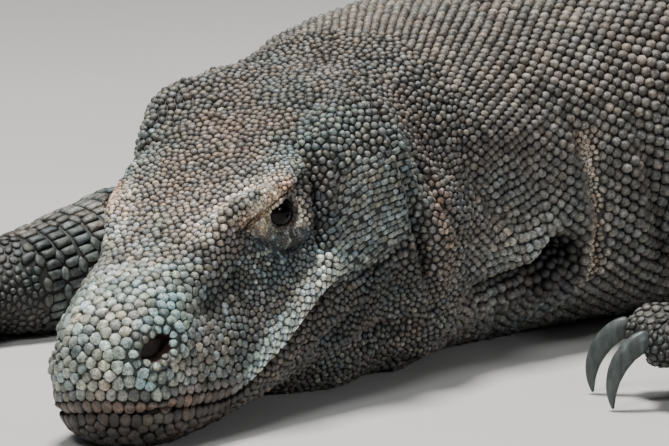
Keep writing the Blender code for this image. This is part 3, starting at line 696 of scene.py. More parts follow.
def wrinkle_heights(points):
    """Small standing wrinkles of the loose skin on throat, neck, shoulders and flanks."""
    s, out, height = to_body(points).T
    stretched = np.stack([s, np.sign(out) * 0.3 + height * 0.32, height * 0.1], 1)
    ridges = 1 - 2 * np.abs(noise_at(stretched, 0.011, 5))
    broad = noise_at(points, 0.030, 8)
    neck = smooth_step(s, 0.17, 0.21) * (1 - smooth_step(s, 0.50, 0.62))
    low = 1 - smooth_step(height, 0.055, 0.115)
    side = smooth_step(np.abs(out), 0.035, 0.055)
    fine = neck * side * (0.25 + 0.75 * low) * ridges * 0.0011
    trunk = smooth_step(s, 0.30, 0.5) * (1 - smooth_step(s, 1.15, 1.5))
    return fine + trunk * broad * 0.0016 + (1 - trunk) * smooth_step(s, 0.0, 0.2) * broad * 0.0006


def eye_frame(side):
    """Centre of an eye, and its axes out of the eye, to the front and up, in the head's frame."""
    flip = np.array((1, side, 1))
    aim = unit(EYE_AIM * flip)
    front = np.array((-1.0, 0, -0.12))
    front = unit(front - aim * (front @ aim))
    rise = np.cross(aim, front)
    return (EYE_CENTRE + EYE_SHIFT) * flip, aim, front, rise * np.sign(rise[2])


def around_eye(head, side):
    """Angle from the eye's axis as a share of the lid's own, turn round it, and distance."""
    centre, aim, front, rise = eye_frame(side)
    offset = head - centre
    distance = np.linalg.norm(offset, axis=1)
    way = offset / distance[:, None]
    x, y, z = way @ front, way @ rise, way @ aim
    angle = np.arccos(np.clip(z, -1, 1))
    turn = np.arctan2(y, x)
    lift = np.where(y > 0, LID_RISE, LID_DROP)
    rim = 1 / np.sqrt((np.cos(turn) / LID_LENGTH) ** 2 + (np.sin(turn) / lift) ** 2)
    return angle / rim, turn, distance, way


def open_eyes(head):
    """Head points with the lids shaped round each eyeball; also how bare each point is."""
    bare = np.zeros(len(head))
    for side in SIDES.values():
        share, turn, distance, way = around_eye(head, side)
        near = (share < 2.6) & (distance < EYE_RADIUS * 2.2)
        ring = bell(share - 1.14, 0.10)
        lid = EYE_RADIUS + LID_LIFT + LID_THICKNESS * ring
        inside = EYE_RADIUS - 0.0016
        wanted = inside + (lid - inside) * smooth_step(share, 0.98, 1.08)
        mix = 1 - smooth_step(share, 1.16, 1.46)
        reach = distance + (wanted - distance) * mix
        reach = np.maximum(reach, np.where(share > 1.1, EYE_RADIUS + LID_LIFT / 2, 0.0))
        head = np.where(near[:, None], eye_frame(side)[0] + way * reach[:, None], head)
        bare = np.maximum(bare, near * (1 - smooth_step(share, 1.0, 1.08)))
    return head, bare


def hang_brows(head):
    """Head points with the lower edge of each brow drawn out over the upper lid."""
    for side in SIDES.values():
        flip = np.array((1, side, 1))
        distance, inner = distance_to_line(head * flip, BROW_EDGE)
        head = head + (inner * bell(distance, BROW_REACH))[:, None] * BROW_PUSH * flip
    return head


def open_nostrils(head, normals):
    """Head points with a slanting pit for each nostril and a swollen rim round it."""
    bare = np.zeros(len(head))
    for side in SIDES.values():
        flip = np.array((1, side, 1))
        aim = unit(NOSTRIL_AIM * flip)
        offset = head - NOSTRIL * flip
        back = np.array((math.cos(NOSTRIL_SLANT), 0, math.sin(NOSTRIL_SLANT)))
        back = unit(back - aim * (back @ aim))
        rise = np.cross(aim, back) * -side
        x, y = (offset @ back) / NOSTRIL_LONG, (offset @ rise) / NOSTRIL_WIDE
        x, y = np.clip(x, -9, 9), np.clip(y, -9, 9)
        share = np.hypot(x, y)
        near = np.linalg.norm(offset, axis=1) < 0.016
        pit = near * (1 - smooth_step(share, 0.62, 1.02))
        rim = near * (1.0 if side > 0 else 0.35) * bell(share - 1.45, 0.34)
        rim = rim * (0.25 + 0.75 * smooth_step(x - 1.6 * y, -0.5, 1.5))
        inward = unit(-aim + 0.25 * np.array((1.0, 0, 0)))
        head = head + inward * (pit * NOSTRIL_DEPTH)[:, None]
        head = head + normals * (rim * NOSTRIL_RIM)[:, None]
        bare = np.maximum(bare, near * (share < 1.02))
    return head, bare


def part_lips(head, normals):
    """Head points with the groove of the closed mouth and the lips on both sides of it."""
    above = head[:, 2] - mouth_level(head[:, 0])
    above = above + 0.0006 * np.sin(head[:, 0] * 330) * bell(head[:, 0] - 0.01, 0.03)
    front = smooth_step(-head[:, 0], -0.139, -0.128)
    groove = front * bell(above, GROOVE_WIDTH)
    lips = front * bell(np.abs(above) - LIP_PLACE, LIP_WIDTH)
    move = lips * LIP_HEIGHT - groove * GROOVE_DEPTH
    return head + normals * move[:, None], groove


def sculpt(skin):
    """Give the skin its folds and openings, and put it inside the solids by the coat's depth."""
    mesh = skin.data
    points, edges = points_of(mesh), edges_of(mesh)
    normals = unit(averaged(normals_of(mesh), edges, 6))
    folds = fold_heights(points)
    depth = read_at(COAT_DEPTH, to_body(points)[:, 0])
    heights = folds + wrinkle_heights(points) - depth - CLOSE_CUTS
    points = points + normals * heights[:, None]
    set_points(mesh, points)
    normals = unit(averaged(normals_of(mesh), edges, 2)) @ HEAD_AXES
    head = to_head(points)
    part = np.nonzero((head[:, 0] < HEAD_BACK) & (np.abs(head[:, 1]) < 0.07))[0]
    near, lips = part_lips(head[part], normals[part])
    near, nostrils = open_nostrils(near, normals[part])
    near, eyes = open_eyes(near)
    bare = np.zeros(len(points))
    bare[part] = np.maximum(np.maximum(lips, nostrils), eyes)
    points[part] = from_head(hang_brows(near))
    points[:, 2] = np.maximum(points[:, 2], SKIN_LOWEST)
    set_points(mesh, points)
    return bare, folds


# ---- places of the scales ------------------------------------------------------------------------

RING_RAYS = 240
AXIS_STEP = 0.0004  # between the places along an axis where a ring of scales may stand
MIDDLE_HEIGHTS = [(0.2, 0.075), (0.3, 0.075), (0.7, 0.085), (1.1, 0.070), (1.5, 0.045),
    (2.0, 0.024), (2.46, 0.005)]  # of the body, along the spine
HEAD_PITCHES = [(0.0, 0.0046), (0.025, 0.0045), (0.050, 0.0038), (0.080, 0.0031), (0.110, 0.0029),
    (0.150, 0.0033), (0.185, 0.0034), (0.200, 0.0031), (0.240, 0.0033)]
BODY_PITCHES = [(0.0, 0.0036), (0.20, 0.0034), (0.24, 0.0040), (0.29, 0.0049), (0.45, 0.0058),
    (0.60, 0.0070), (0.75, 0.0080), (1.10, 0.0082), (1.50, 0.0070), (2.00, 0.0050), (2.46, 0.0034)]
ROW_SHARE = 0.84  # distance between rows as a share of the distance along them
BRICK_ALONG, BRICK_AROUND = 0.0098, 0.0050  # forearm scales: along the arm, and round it
CHEEK_ALONG, CHEEK_AROUND = 0.0047, 0.0028
LIMB_PITCH, FOOT_PITCH, TOE_PITCH, THROAT_PITCH, LIP_PITCH = 0.0062, 0.0044, 0.0034, 0.0029, 0.0046
TOE_HEIGHT = 0.034  # scales of a foot below this have the pitch of the toes
LIP_ROWS = ((0.0032, 0), (0.0078, 0.5), (-0.0034, 0.2))  # height over the mouth, and shift
LIP_TURN = 0.022  # in front of this place the rows of the lips turn round the snout
CLOSEST, TOO_CLOSE = 0.80, 0.60  # least distance of scattered scales, and of rows, in pitches
GRID_CELL = 0.0060
ROW_FREEDOM = 0.35  # how far scales in rows give way, against 1 for the scattered ones
TRIES = 290000

# Skin round the eyes, and small scales elsewhere on the head: centre, reach, distance between
# grains.
EYE_SKIN = [
    ((0.1120, 0.040, 0.0440), 0.0120, 0.0012),
    ((0.1010, 0.037, 0.0460), 0.0085, 0.0012),
    ((0.1100, 0.038, 0.0545), 0.0055, 0.0013),
    ((0.1020, 0.035, 0.0520), 0.0050, 0.0014),
    ((0.1060, 0.039, 0.0340), 0.0100, 0.0013),
    ((0.1180, 0.043, 0.0320), 0.0090, 0.0013),
]
SMALL_SCALES = [
    ((0.1290, 0.040, 0.0600), 0.009, 0.0018),
    ((0.019, 0.026, 0.024), 0.009, 0.0025),
    ((0.095, 0.038, 0.026), 0.020, 0.0023),
]
TAN_FOLD = [(0.3316, 0.072, 0.034), (0.3283, 0.074, 0.057), (0.3237, 0.076, 0.076),
    (0.3200, 0.0755, 0.094)]
# Finely grained strips on the neck, in the body's frame: line, width, distance between grains.
FOLD_SKIN = [
    (TAN_FOLD, 0.0062, 0.0016),
    ([(0.200, 0.068, 0.058), (0.196, 0.066, 0.090)], 0.0050, 0.0019),
]


def eye_skin(head):
    """How finely grained the skin is at places of the head (right ones mirrored), 0 to 1."""
    return np.max([bell(np.linalg.norm(head - centre, axis=1), reach)
        for centre, reach, _ in EYE_SKIN], axis=0)


def labelled(labels, *starts):
    """Which labels are those of solids with names that start as given."""
    return np.isin(labels, [k for k, name in enumerate(FLESH) if name.startswith(starts)])


def along_chain(places, reach, arcs):
    """Places at the given distances along a chain of places."""
    return np.stack([np.interp(arcs, reach, places[:, k]) for k in range(3)], 1)


class Surface:
    """The finished skin as something to cast rays at and to stand scales on."""

    def __init__(self, skin, bare, folds):
        self.points, self.normals = points_of(skin.data), normals_of(skin.data)
        self.bare, self.folds = bare, folds
        self.triangles = triangles_of(skin.data)
        self.tree = face_tree(self.points, self.triangles)
        self.labels = self.nearest_nodes()

    def nearest_nodes(self):
        """For each triangle, the index in FLESH of the solid that is nearest."""
        points, triangles, owner = joined_nodes(FLESH)
        tree = face_tree(points, triangles)
        nearest = np.array([tree.find_nearest(p)[2] for p in self.points.tolist()])
        return owner[nearest][self.triangles[:, 0]]

    def cast(self, origins, ways, reach=0.6):
        """Triangle hit by each ray, or -1, and the place."""
        found = np.full(len(origins), -1)
        places = np.zeros((len(origins), 3))
        for k, (origin, way) in enumerate(zip(origins.tolist(), ways.tolist())):
            place, _, index, _ = self.tree.ray_cast(origin, way, reach)
            if index is not None:
                found[k] = index
                places[k] = place
        return found, places

    def settle(self, places):
        """Nearest places on the skin, and their triangles."""
        found = [self.tree.find_nearest(p) for p in places.tolist()]
        return np.array([f[0] for f in found]), np.array([f[2] for f in found])

    def at(self, values, places, triangles):
        """Values of the skin's points, mixed for places on the given triangles."""
        corners = self.triangles[triangles]
        a, b, c = (self.points[corners[:, k]] for k in range(3))
        across = np.cross(b - a, c - a)
        area = np.maximum((across**2).sum(1), 1e-20)
        u = (np.cross(c - b, places - b) * across).sum(1) / area
        v = (np.cross(a - c, places - c) * across).sum(1) / area
        u, v = np.clip(u, 0, 1), np.clip(v, 0, 1)
        w = np.clip(1 - u - v, 0, 1)
        values = values.reshape(len(values), -1)
        mixed = u[:, None] * values[corners[:, 0]] + v[:, None] * values[corners[:, 1]]
        return mixed + w[:, None] * values[corners[:, 2]]


def ring_rows(surface, centres, way, up, pitch, names, row_share, around=None, banded=False):
    """Scales in rings round an axis, each ring shifted by half a scale against the one before.

    Where banded, every second scale of a ring is shifted along the axis instead.
    """
    random = np.random.default_rng(5)
    found = []
    turns = np.linspace(0, math.pi, RING_RAYS // 2)
    row, travelled, due = 0, 0.0, 0.0
    last = centres[0]
    shape = centres.shape
    steps = zip(centres, np.broadcast_to(way, shape), np.broadcast_to(up, shape),
        np.broadcast_to(pitch, shape[:1]))
    for centre, way, up, pitch in steps:
        travelled += np.linalg.norm(centre - last)
        last = centre
        if travelled < due:
            continue
        due = travelled + pitch * row_share
        row += 1
        side = unit(np.cross(way, up))
        for sign in (1, -1):
            rays = np.cos(turns)[:, None] * up + sign * np.sin(turns)[:, None] * side
            hits, places = surface.cast(np.repeat(centre[None], len(rays), 0), rays)
            good = hits >= 0
            if good.sum() < 8:
                continue
            hits, places = hits[good], places[good]
            gaps = np.linalg.norm(np.diff(places, axis=0), axis=1)
            reach = np.concatenate([[0], np.cumsum(np.minimum(gaps, 4 * pitch))])
            step = around or pitch
            shifted = 0.5 if row % 2 and not banded else (1.0 if sign > 0 else 0.0)
            arcs = np.arange(step * shifted, reach[-1], step)
            arcs = arcs + step * 0.16 * (random.random(len(arcs)) - 0.5)
            spots = along_chain(places, reach, arcs)
            if banded:
                stagger = (np.arange(len(arcs)) % 2) * 0.5 + 0.22 * (random.random(len(arcs)) - 0.5)
                spots = spots + way * (stagger * pitch)[:, None]
            index = np.clip(np.searchsorted(reach, arcs), 0, len(hits) - 1)
            found.append(spots[labelled(surface.labels[hits[index]], *names)])
    return np.concatenate(found) if found else np.zeros((0, 3))


def body_rows(surface):
    """Rows of scales on neck, trunk and tail."""
    s = np.arange(0.196, BODY_LENGTH - 0.004, AXIS_STEP)
    centres = from_body(np.stack([s, np.zeros_like(s), through(MIDDLE_HEIGHTS, s)[:, 0]], 1))
    return ring_rows(surface, centres, spine_direction(s), (0, 0, 1.0), read_at(BODY_PITCHES, s),
        TRUNK, ROW_SHARE)


def limb_rows(surface, name):
    """Rows of scales on one upper or lower limb, round the long axis of its solid."""
    points, _ = node_arrays(name)
    middle = points.mean(0)
    way = np.linalg.svd(points - middle)[2][0]
    reach = (points - middle) @ way
    at = np.arange(reach.min(), reach.max(), AXIS_STEP)
    up = unit(np.array((0, 0, 1.0)) - way * way[2])
    bricks = name.startswith(("forearm", "shin"))
    pitch, share = (BRICK_ALONG, 1.0) if bricks else (LIMB_PITCH, ROW_SHARE)
    return ring_rows(surface, middle + at[:, None] * way, way, up, pitch, [name], share,
        BRICK_AROUND if bricks else None)


def cheek_rows(surface):
    """Long scales in lengthwise bands on the cheeks, between the eye and the rear of the jaw."""
    back = np.arange(0.136, 0.192, AXIS_STEP)
    centres = from_head(np.stack([back, 0 * back, np.full(len(back), 0.015)], 1))
    places = ring_rows(surface, centres, HEAD_AXES[:, 0], HEAD_AXES[:, 2], CHEEK_ALONG, HEAD_NODES,
        0.98, CHEEK_AROUND, banded=True)
    up = to_head(places)[:, 2]
    return places[(up > 0.004) & (up < 0.046)]


def lip_rows(surface):
    """Large scales in even rows along the upper and the lower lip."""
    found = []
    back = np.arange(-0.004, 0.134, 0.0005)
    angle = np.clip((LIP_TURN - back) / 0.026, 0, 1) * math.pi / 2
    for level, shift in LIP_ROWS:
        for side in SIDES.values():
            origins = [np.maximum(back, LIP_TURN), np.zeros_like(back), mouth_level(back) + level]
            rays = np.stack([-np.sin(angle), side * np.cos(angle), np.zeros_like(back)], 1)
            hits, places = surface.cast(from_head(np.stack(origins, 1)), rays @ HEAD_AXES.T, 0.08)
            places = places[hits >= 0]
            gaps = np.linalg.norm(np.diff(places, axis=0), axis=1)
            reach = np.concatenate([[0], np.cumsum(gaps)])
            arcs = np.arange(LIP_PITCH * (0.5 + shift), reach[-1], LIP_PITCH)
            found.append(along_chain(places, reach, arcs))
    return np.concatenate(found)


def scale_pitch(places, triangles, surface):
    """The wanted distance between neighbouring scales at each place of the skin."""
    head, body = mirrored(to_head(places)), mirrored(to_body(places))
    labels = surface.labels[triangles]
    feet = labelled(labels, "hand", "foot")
    pitch = read_at(BODY_PITCHES, body[:, 0])
    for line, width, small in FOLD_SKIN:
        near = bell(distance_to_line(body, line)[0], width)
        pitch = pitch * (1 - near) + small * near
    head_pitch = read_at(HEAD_PITCHES, head[:, 0])
    for centre, reach, small in (*EYE_SKIN, *SMALL_SCALES):
        near = bell(np.linalg.norm(head - centre, axis=1), reach)
        head_pitch = head_pitch * (1 - near) + np.minimum(small, head_pitch) * near
    under = smooth_step(-head[:, 2], 0.000, 0.020) * smooth_step(head[:, 0], 0.06, 0.13)
    head_pitch = head_pitch * (1 - under) + THROAT_PITCH * under
    pitch = np.where(labelled(labels, *HEAD_NODES), head_pitch, pitch)
    pitch = np.where(labelled(labels, *LIMBS) & ~feet, LIMB_PITCH, pitch)
    return np.where(feet, np.where(places[:, 2] < TOE_HEIGHT, TOE_PITCH, FOOT_PITCH), pitch)


def spaced(places, gaps, others):
    """Numbers of the places that keep their gap from the others and from those kept before."""
    grid = {}
    for other in others.tolist():
        grid.setdefault(tuple(int(value // GRID_CELL) for value in other), []).append(other)
    steps = [(i, j, k) for i in (-1, 0, 1) for j in (-1, 0, 1) for k in (-1, 0, 1)]

    def is_free(place, x, y, z, limit):
        for i, j, k in steps:
            for other in grid.get((x + i, y + j, z + k), ()):
                dx, dy, dz = other[0] - place[0], other[1] - place[1], other[2] - place[2]
                if dx * dx + dy * dy + dz * dz < limit:
                    return False
        return True

    kept = []
    for number, (place, gap) in enumerate(zip(places.tolist(), gaps.tolist())):
        cell = int(place[0] // GRID_CELL), int(place[1] // GRID_CELL), int(place[2] // GRID_CELL)
        if is_free(place, *cell, gap * gap):
            grid.setdefault(cell, []).append(place)
            kept.append(number)
    return kept


def scattered(surface, others, seed, tries):
    """Places thrown at random on the skin, kept where no other one is closer than allowed."""
    random = np.random.default_rng(seed)
    a, b, c = (surface.points[surface.triangles[:, k]] for k in range(3))
    areas = np.linalg.norm(np.cross(b - a, c - a), axis=1) / 2
    middles = (a + b + c) / 3
    pitch = scale_pitch(middles, np.arange(len(areas)), surface)
    weights = areas / pitch**2
    in_rows = ~labelled(surface.labels, *HEAD_NODES, "hand", "foot")
    weights = weights * np.where(in_rows & (to_body(middles)[:, 0] > 0.215), 0.35, 1.0)
    chosen = np.sort(random.choice(len(areas), tries, p=weights / weights.sum()))
    random.shuffle(chosen)
    u, v = random.random((2, tries))
    flip = u + v > 1
    u, v = np.where(flip, 1 - u, u), np.where(flip, 1 - v, v)
    places = a[chosen] + u[:, None] * (b - a)[chosen] + v[:, None] * (c - a)[chosen]
    open_skin = surface.at(surface.bare, places, chosen)[:, 0] < 0.35
    places, chosen = places[open_skin], chosen[open_skin]
    return places[spaced(places, pitch[chosen] * CLOSEST, others)]


def neighbours_of(places, count=8):
    """Indices and distances of the nearest other places."""
    tree = point_tree(places.tolist(), range(len(places)))
    index = np.empty((len(places), count), int)
    distance = np.empty((len(places), count))
    for k, place in enumerate(places.tolist()):
        found = [f for f in tree.find_n(place, count + 1) if f[1] != k][:count]
        index[k] = [f[1] for f in found]
        distance[k] = [f[2] for f in found]
    return index, distance


def relaxed(surface, places, freedom, rounds):
    """Places pushed apart until neighbours stand about one pitch from each other."""
    for _ in range(rounds):
        places, triangles = surface.settle(places)
        pitch = scale_pitch(places, triangles, surface)
        index, distance = neighbours_of(places)
        wanted = (pitch[:, None] + pitch[index]) / 2
        push = np.maximum(0, wanted * 1.06 - distance) / np.maximum(distance, 1e-6)
        move = ((places[:, None] - places[index]) * push[..., None]).sum(1) * 0.22
        length = np.linalg.norm(move, axis=1)
        move *= np.minimum(1, 0.4 * pitch / np.maximum(length, 1e-9))[:, None]
        places = places + move * freedom[:, None]
    return surface.settle(places)


def place_scales(surface):
    """Every scale's place, triangle, and kind where it stands in a brick row or a cheek band."""
    rows, bricks = [body_rows(surface)], []
    for side in SIDES:
        rows += [limb_rows(surface, f"{limb}_{side}") for limb in ("upper_arm", "thigh")]
        bricks += [limb_rows(surface, f"{limb}_{side}") for limb in ("forearm", "shin")]
    sets = {"": lip_rows(surface), "band": cheek_rows(surface), "brick": np.concatenate(bricks),
        "row": np.concatenate(rows)}
    fixed = np.concatenate(list(sets.values()))
    kind = np.repeat(list(sets), [len(places) for places in sets.values()])
    # rows of different limbs meet at joints: drop places that stand too close to an earlier one
    index, distance = neighbours_of(fixed, 6)
    pitch = scale_pitch(fixed, surface.settle(fixed)[1], surface)
    earlier = index < np.arange(len(fixed))[:, None]
    keep = ~((distance < TOO_CLOSE * pitch[:, None]) & earlier).any(1)
    fixed, kind = fixed[keep], kind[keep]
    extra = scattered(surface, fixed, 7, TRIES)
    places = np.concatenate([fixed, extra])
    freedom = np.where(kind == "row", ROW_FREEDOM, 0.0)
    freedom = np.concatenate([freedom, np.ones(len(extra))])
    kind = np.concatenate([np.where(kind == "row", "", kind), np.full(len(extra), "")])
    places, triangles = relaxed(surface, places, freedom, 5)
    loose = surface.at(surface.bare, places, triangles)[:, 0] < 0.5
    return places[loose], triangles[loose], kind[loose]


# ---- scales --------------------------------------------------------------------------------------

BOXES = {"brick": (BRICK_ALONG, BRICK_AROUND), "band": (CHEEK_ALONG, CHEEK_AROUND)}
SHAPES = {  # sides, rings as (share of the reach, of the height), shift of the top to the tail
    "bead": (8, [(1.0, -0.35), (0.95, 0.42), (0.62, 0.88)], 0.24),
    "plate": (8, [(1.0, -0.35), (0.95, 0.50), (0.70, 0.88)], 0.04),
    "brick": (8, [(1.0, -0.35), (0.90, 0.55), (0.62, 0.92)], 0.02),
    "band": (8, [(1.0, -0.35), (0.90, 0.55), (0.60, 0.95)], 0.05),
    "fine": (6, [(1.0, -0.25), (0.84, 0.60)], 0.0),
    "grain": (8, [(1.0, -0.35), (0.78, 0.70)], 0.04),
    "plain": (6, [(1.0, -0.35), (0.76, 0.72)], 0.20),
}
# Painted shade and highlight of each scale, ring by ring from the base up and then its top, as
# shares of its colour: dark at the base where the gaps lie in shade, lighter on the top as if lit
# from above.
DOME_PAINTED_LIGHT, CAP_PAINTED_LIGHT = (0.13, 0.72, 1.08, 1.18), (0.10, 0.86, 1.22)
RING_PAINTED_LIGHT = {"bead": DOME_PAINTED_LIGHT, "plate": (0.12, 0.80, 1.06, 1.14), "brick": DOME_PAINTED_LIGHT,
    "band": DOME_PAINTED_LIGHT, "grain": CAP_PAINTED_LIGHT, "plain": CAP_PAINTED_LIGHT, "fine": (0.50, 0.96, 1.06)}
HEIGHT_SHARES = [(0.0, 0.30), (0.06, 0.40), (0.10, 0.48), (0.20, 0.48), (0.27, 0.50),
    (0.60, 0.44), (1.10, 0.28), (2.46, 0.22)]
GAP_SHARES = [(0.0, 1.03), (0.10, 1.00), (0.20, 0.97), (0.28, 0.99), (0.60, 0.98), (1.20, 0.94),
    (2.46, 0.94)]
KEEL_SHARES = [(0.18, 0.0), (0.26, 0.16), (0.60, 0.12), (1.20, 0.14), (2.46, 0.30)]
MOST_REACH = 0.80  # a scale's longest half width, as a share of its pitch
LEAST_REACH = 0.0004
FINE_PITCH, SMALL_PITCH = 0.0020, 0.0036  # closer scales are fine flakes, and plain grains
FRONT_END = 0.52  # scales behind this place are made more plainly
PIECE_TRIANGLES = 190000
PATCH = 0.003  # width of a scale's own patch on the unwrap
UNWRAP_WIDTH, UNWRAP_GAP = 1.55, 0.01


def lie_directions(places, labels):
    """The way the scales point: to the tail on head and body, to the toes on the legs."""
    ways = spine_direction(np.maximum(to_body(places)[:, 0], 0.2))
    ways[labelled(labels, *HEAD_NODES)] = HEAD_AXES[:, 0]
    chains = {"hand": "forearm", "forearm": "upper_arm", "foot": "shin", "shin": "thigh"}
    for side in SIDES:
        for limb, parent in chains.items():
            mine = labelled(labels, f"{limb}_{side}")
            ways[mine] = places[mine] - node_centre(f"{parent}_{side}")
        for limb, child in (("upper_arm", "forearm"), ("thigh", "shin")):
            mine = labelled(labels, f"{limb}_{side}")
            ways[mine] = node_centre(f"{child}_{side}") - node_centre(f"{limb}_{side}")
    return ways


def turns_of(shape):
    """Directions from a scale's middle to the corners of its outline, from the lie on."""
    if shape not in BOXES:
        sides = SHAPES[shape][0]
        return np.arange(sides) * 2 * math.pi / sides
    corner, whole = math.atan2(BOXES[shape][1], BOXES[shape][0]), math.pi
    return np.array([0, corner, whole / 2, whole - corner, whole, whole + corner, 1.5 * whole,
        -corner])


def reaches(shape, offsets, distance, lie, cross, pitch):
    """How far each scale reaches in each direction: half way to the neighbour that lies there."""
    x = (offsets * lie[:, None]).sum(-1)
    y = (offsets * cross[:, None]).sum(-1)
    turns = turns_of(shape)
    along = x[..., None] * np.cos(turns) + y[..., None] * np.sin(turns)
    half = (distance**2)[..., None] / 2
    reach = np.where(along > 1e-5, half / np.maximum(along, 1e-5), 1.0).min(1)
    reach = np.minimum(reach, MOST_REACH * pitch[:, None])
    if shape in BOXES:
        long, wide = BOXES[shape]
        box = np.minimum(long / 2 / np.maximum(np.abs(np.cos(turns)), 1e-6),
            wide / 2 / np.maximum(np.abs(np.sin(turns)), 1e-6))
        return np.minimum(1.3 * reach, box)
    return 0.80 * reach + 0.10 * (np.roll(reach, 1, 1) + np.roll(reach, -1, 1))


def scale_faces(shape):
    """Faces of one scale: its sides, its top round the last point, and its flat underside."""
    sides, rings, _ = SHAPES[shape]
    faces = [tuple(reversed(range(sides)))]
    for low in range(0, (len(rings) - 1) * sides, sides):
        for k in range(sides):
            after = (k + 1) % sides
            faces.append((low + k, low + after, low + sides + after, low + sides + k))
    last, top = (len(rings) - 1) * sides, len(rings) * sides
    return faces + [(last + k, last + (k + 1) % sides, top) for k in range(sides)]


def paint(mesh, colours):
    """Store one colour for each point of the mesh."""
    attribute = mesh.attributes.new("stored_colour", "FLOAT_COLOR", "POINT")
    full = np.concatenate([colours, np.ones((len(colours), 1))], 1)
    attribute.data.foreach_set("color", full.astype(np.float32).reshape(-1))


def many_copies(name, points, faces, uv, colours):
    """A mesh object of many small closed forms, all with the same faces."""
    count, each = points.shape[:2]
    loops = np.concatenate([np.array(face) for face in faces])
    loops = (loops[None] + np.arange(count)[:, None] * each).reshape(-1)
    totals = np.tile([len(face) for face in faces], count)
    starts = np.concatenate([[0], np.cumsum(totals)[:-1]])
    mesh = bpy.data.meshes.new(name)
    mesh.vertices.add(count * each)
    mesh.vertices.foreach_set("co", points.reshape(-1))
    mesh.loops.add(len(loops))
    mesh.loops.foreach_set("vertex_index", loops.astype(np.int32))
    mesh.polygons.add(len(totals))
    mesh.polygons.foreach_set("loop_start", starts.astype(np.int32))
    mesh.update(calc_edges=True)
    mesh.polygons.foreach_set("use_smooth", np.ones(len(totals), bool))
    layer = mesh.uv_layers.new(name="OFBake")
    layer.uv.foreach_set("vector", uv.reshape(-1, 2)[loops].astype(np.float32).reshape(-1))
    paint(mesh, colours.reshape(-1, 3))
    return added(name, mesh)


def unwrapped(places, labels):
    """Place of each scale on an unwrap: each body part rolled off round its own axis."""
    strips = []
    for k, name in enumerate(FLESH):
        mine = np.nonzero(labels == k)[0]
        if not len(mine):
            continue
        if name in TRUNK:
            x, y, height = to_body(places[mine]).T
            z = height - 0.5 * (height.min() + height.max())
        else:
            offset = places[mine] - places[mine].mean(0)
            _, _, axes = np.linalg.svd(offset, full_matrices=False)
            x, y, z = (offset @ axes.T).T
        zoom = 1.5 if name.startswith((*HEAD_NODES, "hand", "foot")) else 1.0
        length = (x.max() - x.min()) * zoom
        around = np.empty(len(mine))
        around[np.argsort(np.arctan2(y, z))] = np.linspace(0, 1, len(mine))
        girth = 2 * math.pi * np.hypot(y, z).mean() * zoom
        strips.append((girth, length, mine, (x - x.min()) * zoom, around * girth))
    strips.sort(key=lambda strip: -strip[0])
    spot = np.zeros((len(places), 2))
    x_at, y_at, tall = 0.0, 0.0, 0.0
    for girth, length, mine, x, y in strips:
        if x_at + length > UNWRAP_WIDTH:
            x_at, y_at, tall = 0.0, y_at + tall + UNWRAP_GAP, 0.0
        spot[mine] = np.stack([x_at + x, y_at + y], 1)
        x_at += length + UNWRAP_GAP
        tall = max(tall, girth)
    whole = max(UNWRAP_WIDTH, y_at + tall)
    return 0.005 + 0.99 * spot / whole, 0.99 / whole


def coat_measures(s, head, labels, kind, pitch):
    """Each scale's height and width as shares of its size and room, and how strong its keel is."""
    limb, on_head = labelled(labels, *LIMBS), labelled(labels, *HEAD_NODES)
    fine = pitch < FINE_PITCH
    lips = on_head & (np.abs(head[:, 2] - mouth_level(head[:, 0])) < 0.006) & (head[:, 0] < 0.14)
    height = read_at(HEIGHT_SHARES, s)
    for chosen, share in ((lips, 0.24), (limb, 0.22), (kind == "band", 0.24), (fine, 0.16)):
        height = np.where(chosen, share, height)
    opening = np.linalg.norm((mirrored(head) - NOSTRIL) / (0.0095, 0.012, 0.0056), axis=1)
    width = np.where(limb, 0.90, read_at(GAP_SHARES, s)) * np.where(opening < 1.35, 0.74, 1.0)
    keel = np.where(limb | on_head, 0.0, read_at(KEEL_SHARES, s))
    return height, np.where(fine, 1.10, width), keel


def coat_colours(places, normals, folds, on_head, luck):
    """Colour of each scale: the hide's, with painted shade in folds, and a little off at random."""
    # painted shade: darker deep in folds
    colours = hide_colours(places, normals) * painted_fold_shade(folds)[:, None]
    tint = np.where(on_head, 0.54 + 0.92 * luck[:, 0], 0.64 + 0.72 * luck[:, 0])
    tint = tint * np.where(luck[:, 1] > 0.90, 1.30, np.where(luck[:, 1] < 0.12, 0.78, 1.0))
    warm = (luck[:, 2] - 0.5) * np.where(on_head, 0.22, 0.12)
    return colours * tint[:, None] * np.stack([1 + warm, 1 + 0.2 * warm, 1 - warm], 1)


def coat_parts(s, labels, kind, pitch):
    """Name, shape and scales of each piece of the coat."""
    on_head = labelled(labels, *HEAD_NODES)
    front = (s < FRONT_END) | on_head
    loose = front & (kind == "")
    small, fine = pitch < SMALL_PITCH, pitch < FINE_PITCH
    shapes = {"bead": loose & ~small & ~on_head, "plate": loose & ~small & on_head,
        "grain": loose & small & ~fine, "fine": loose & fine, "brick": (kind == "brick") & front,
        "band": kind == "band", "plain": ~front}
    groups = {}
    for k, name in enumerate(FLESH):
        region = name.removesuffix("_left").removesuffix("_right")
        for shape, chosen in shapes.items():
            mine = np.nonzero((labels == k) & chosen)[0]
            if len(mine):
                groups.setdefault((region, shape), []).append(mine)
    parts = []
    for (region, shape), members in groups.items():
        mine = np.concatenate(members)
        mine = mine[np.argsort(s[mine], kind="stable")]
        triangles_each = sum(len(face) - 2 for face in scale_faces(shape))
        count = math.ceil(len(mine) * triangles_each / PIECE_TRIANGLES)
        for number, part in enumerate(np.array_split(mine, count), 1):
            parts.append((f"coat_{region}_{shape}_{number}", shape, part))
    return parts


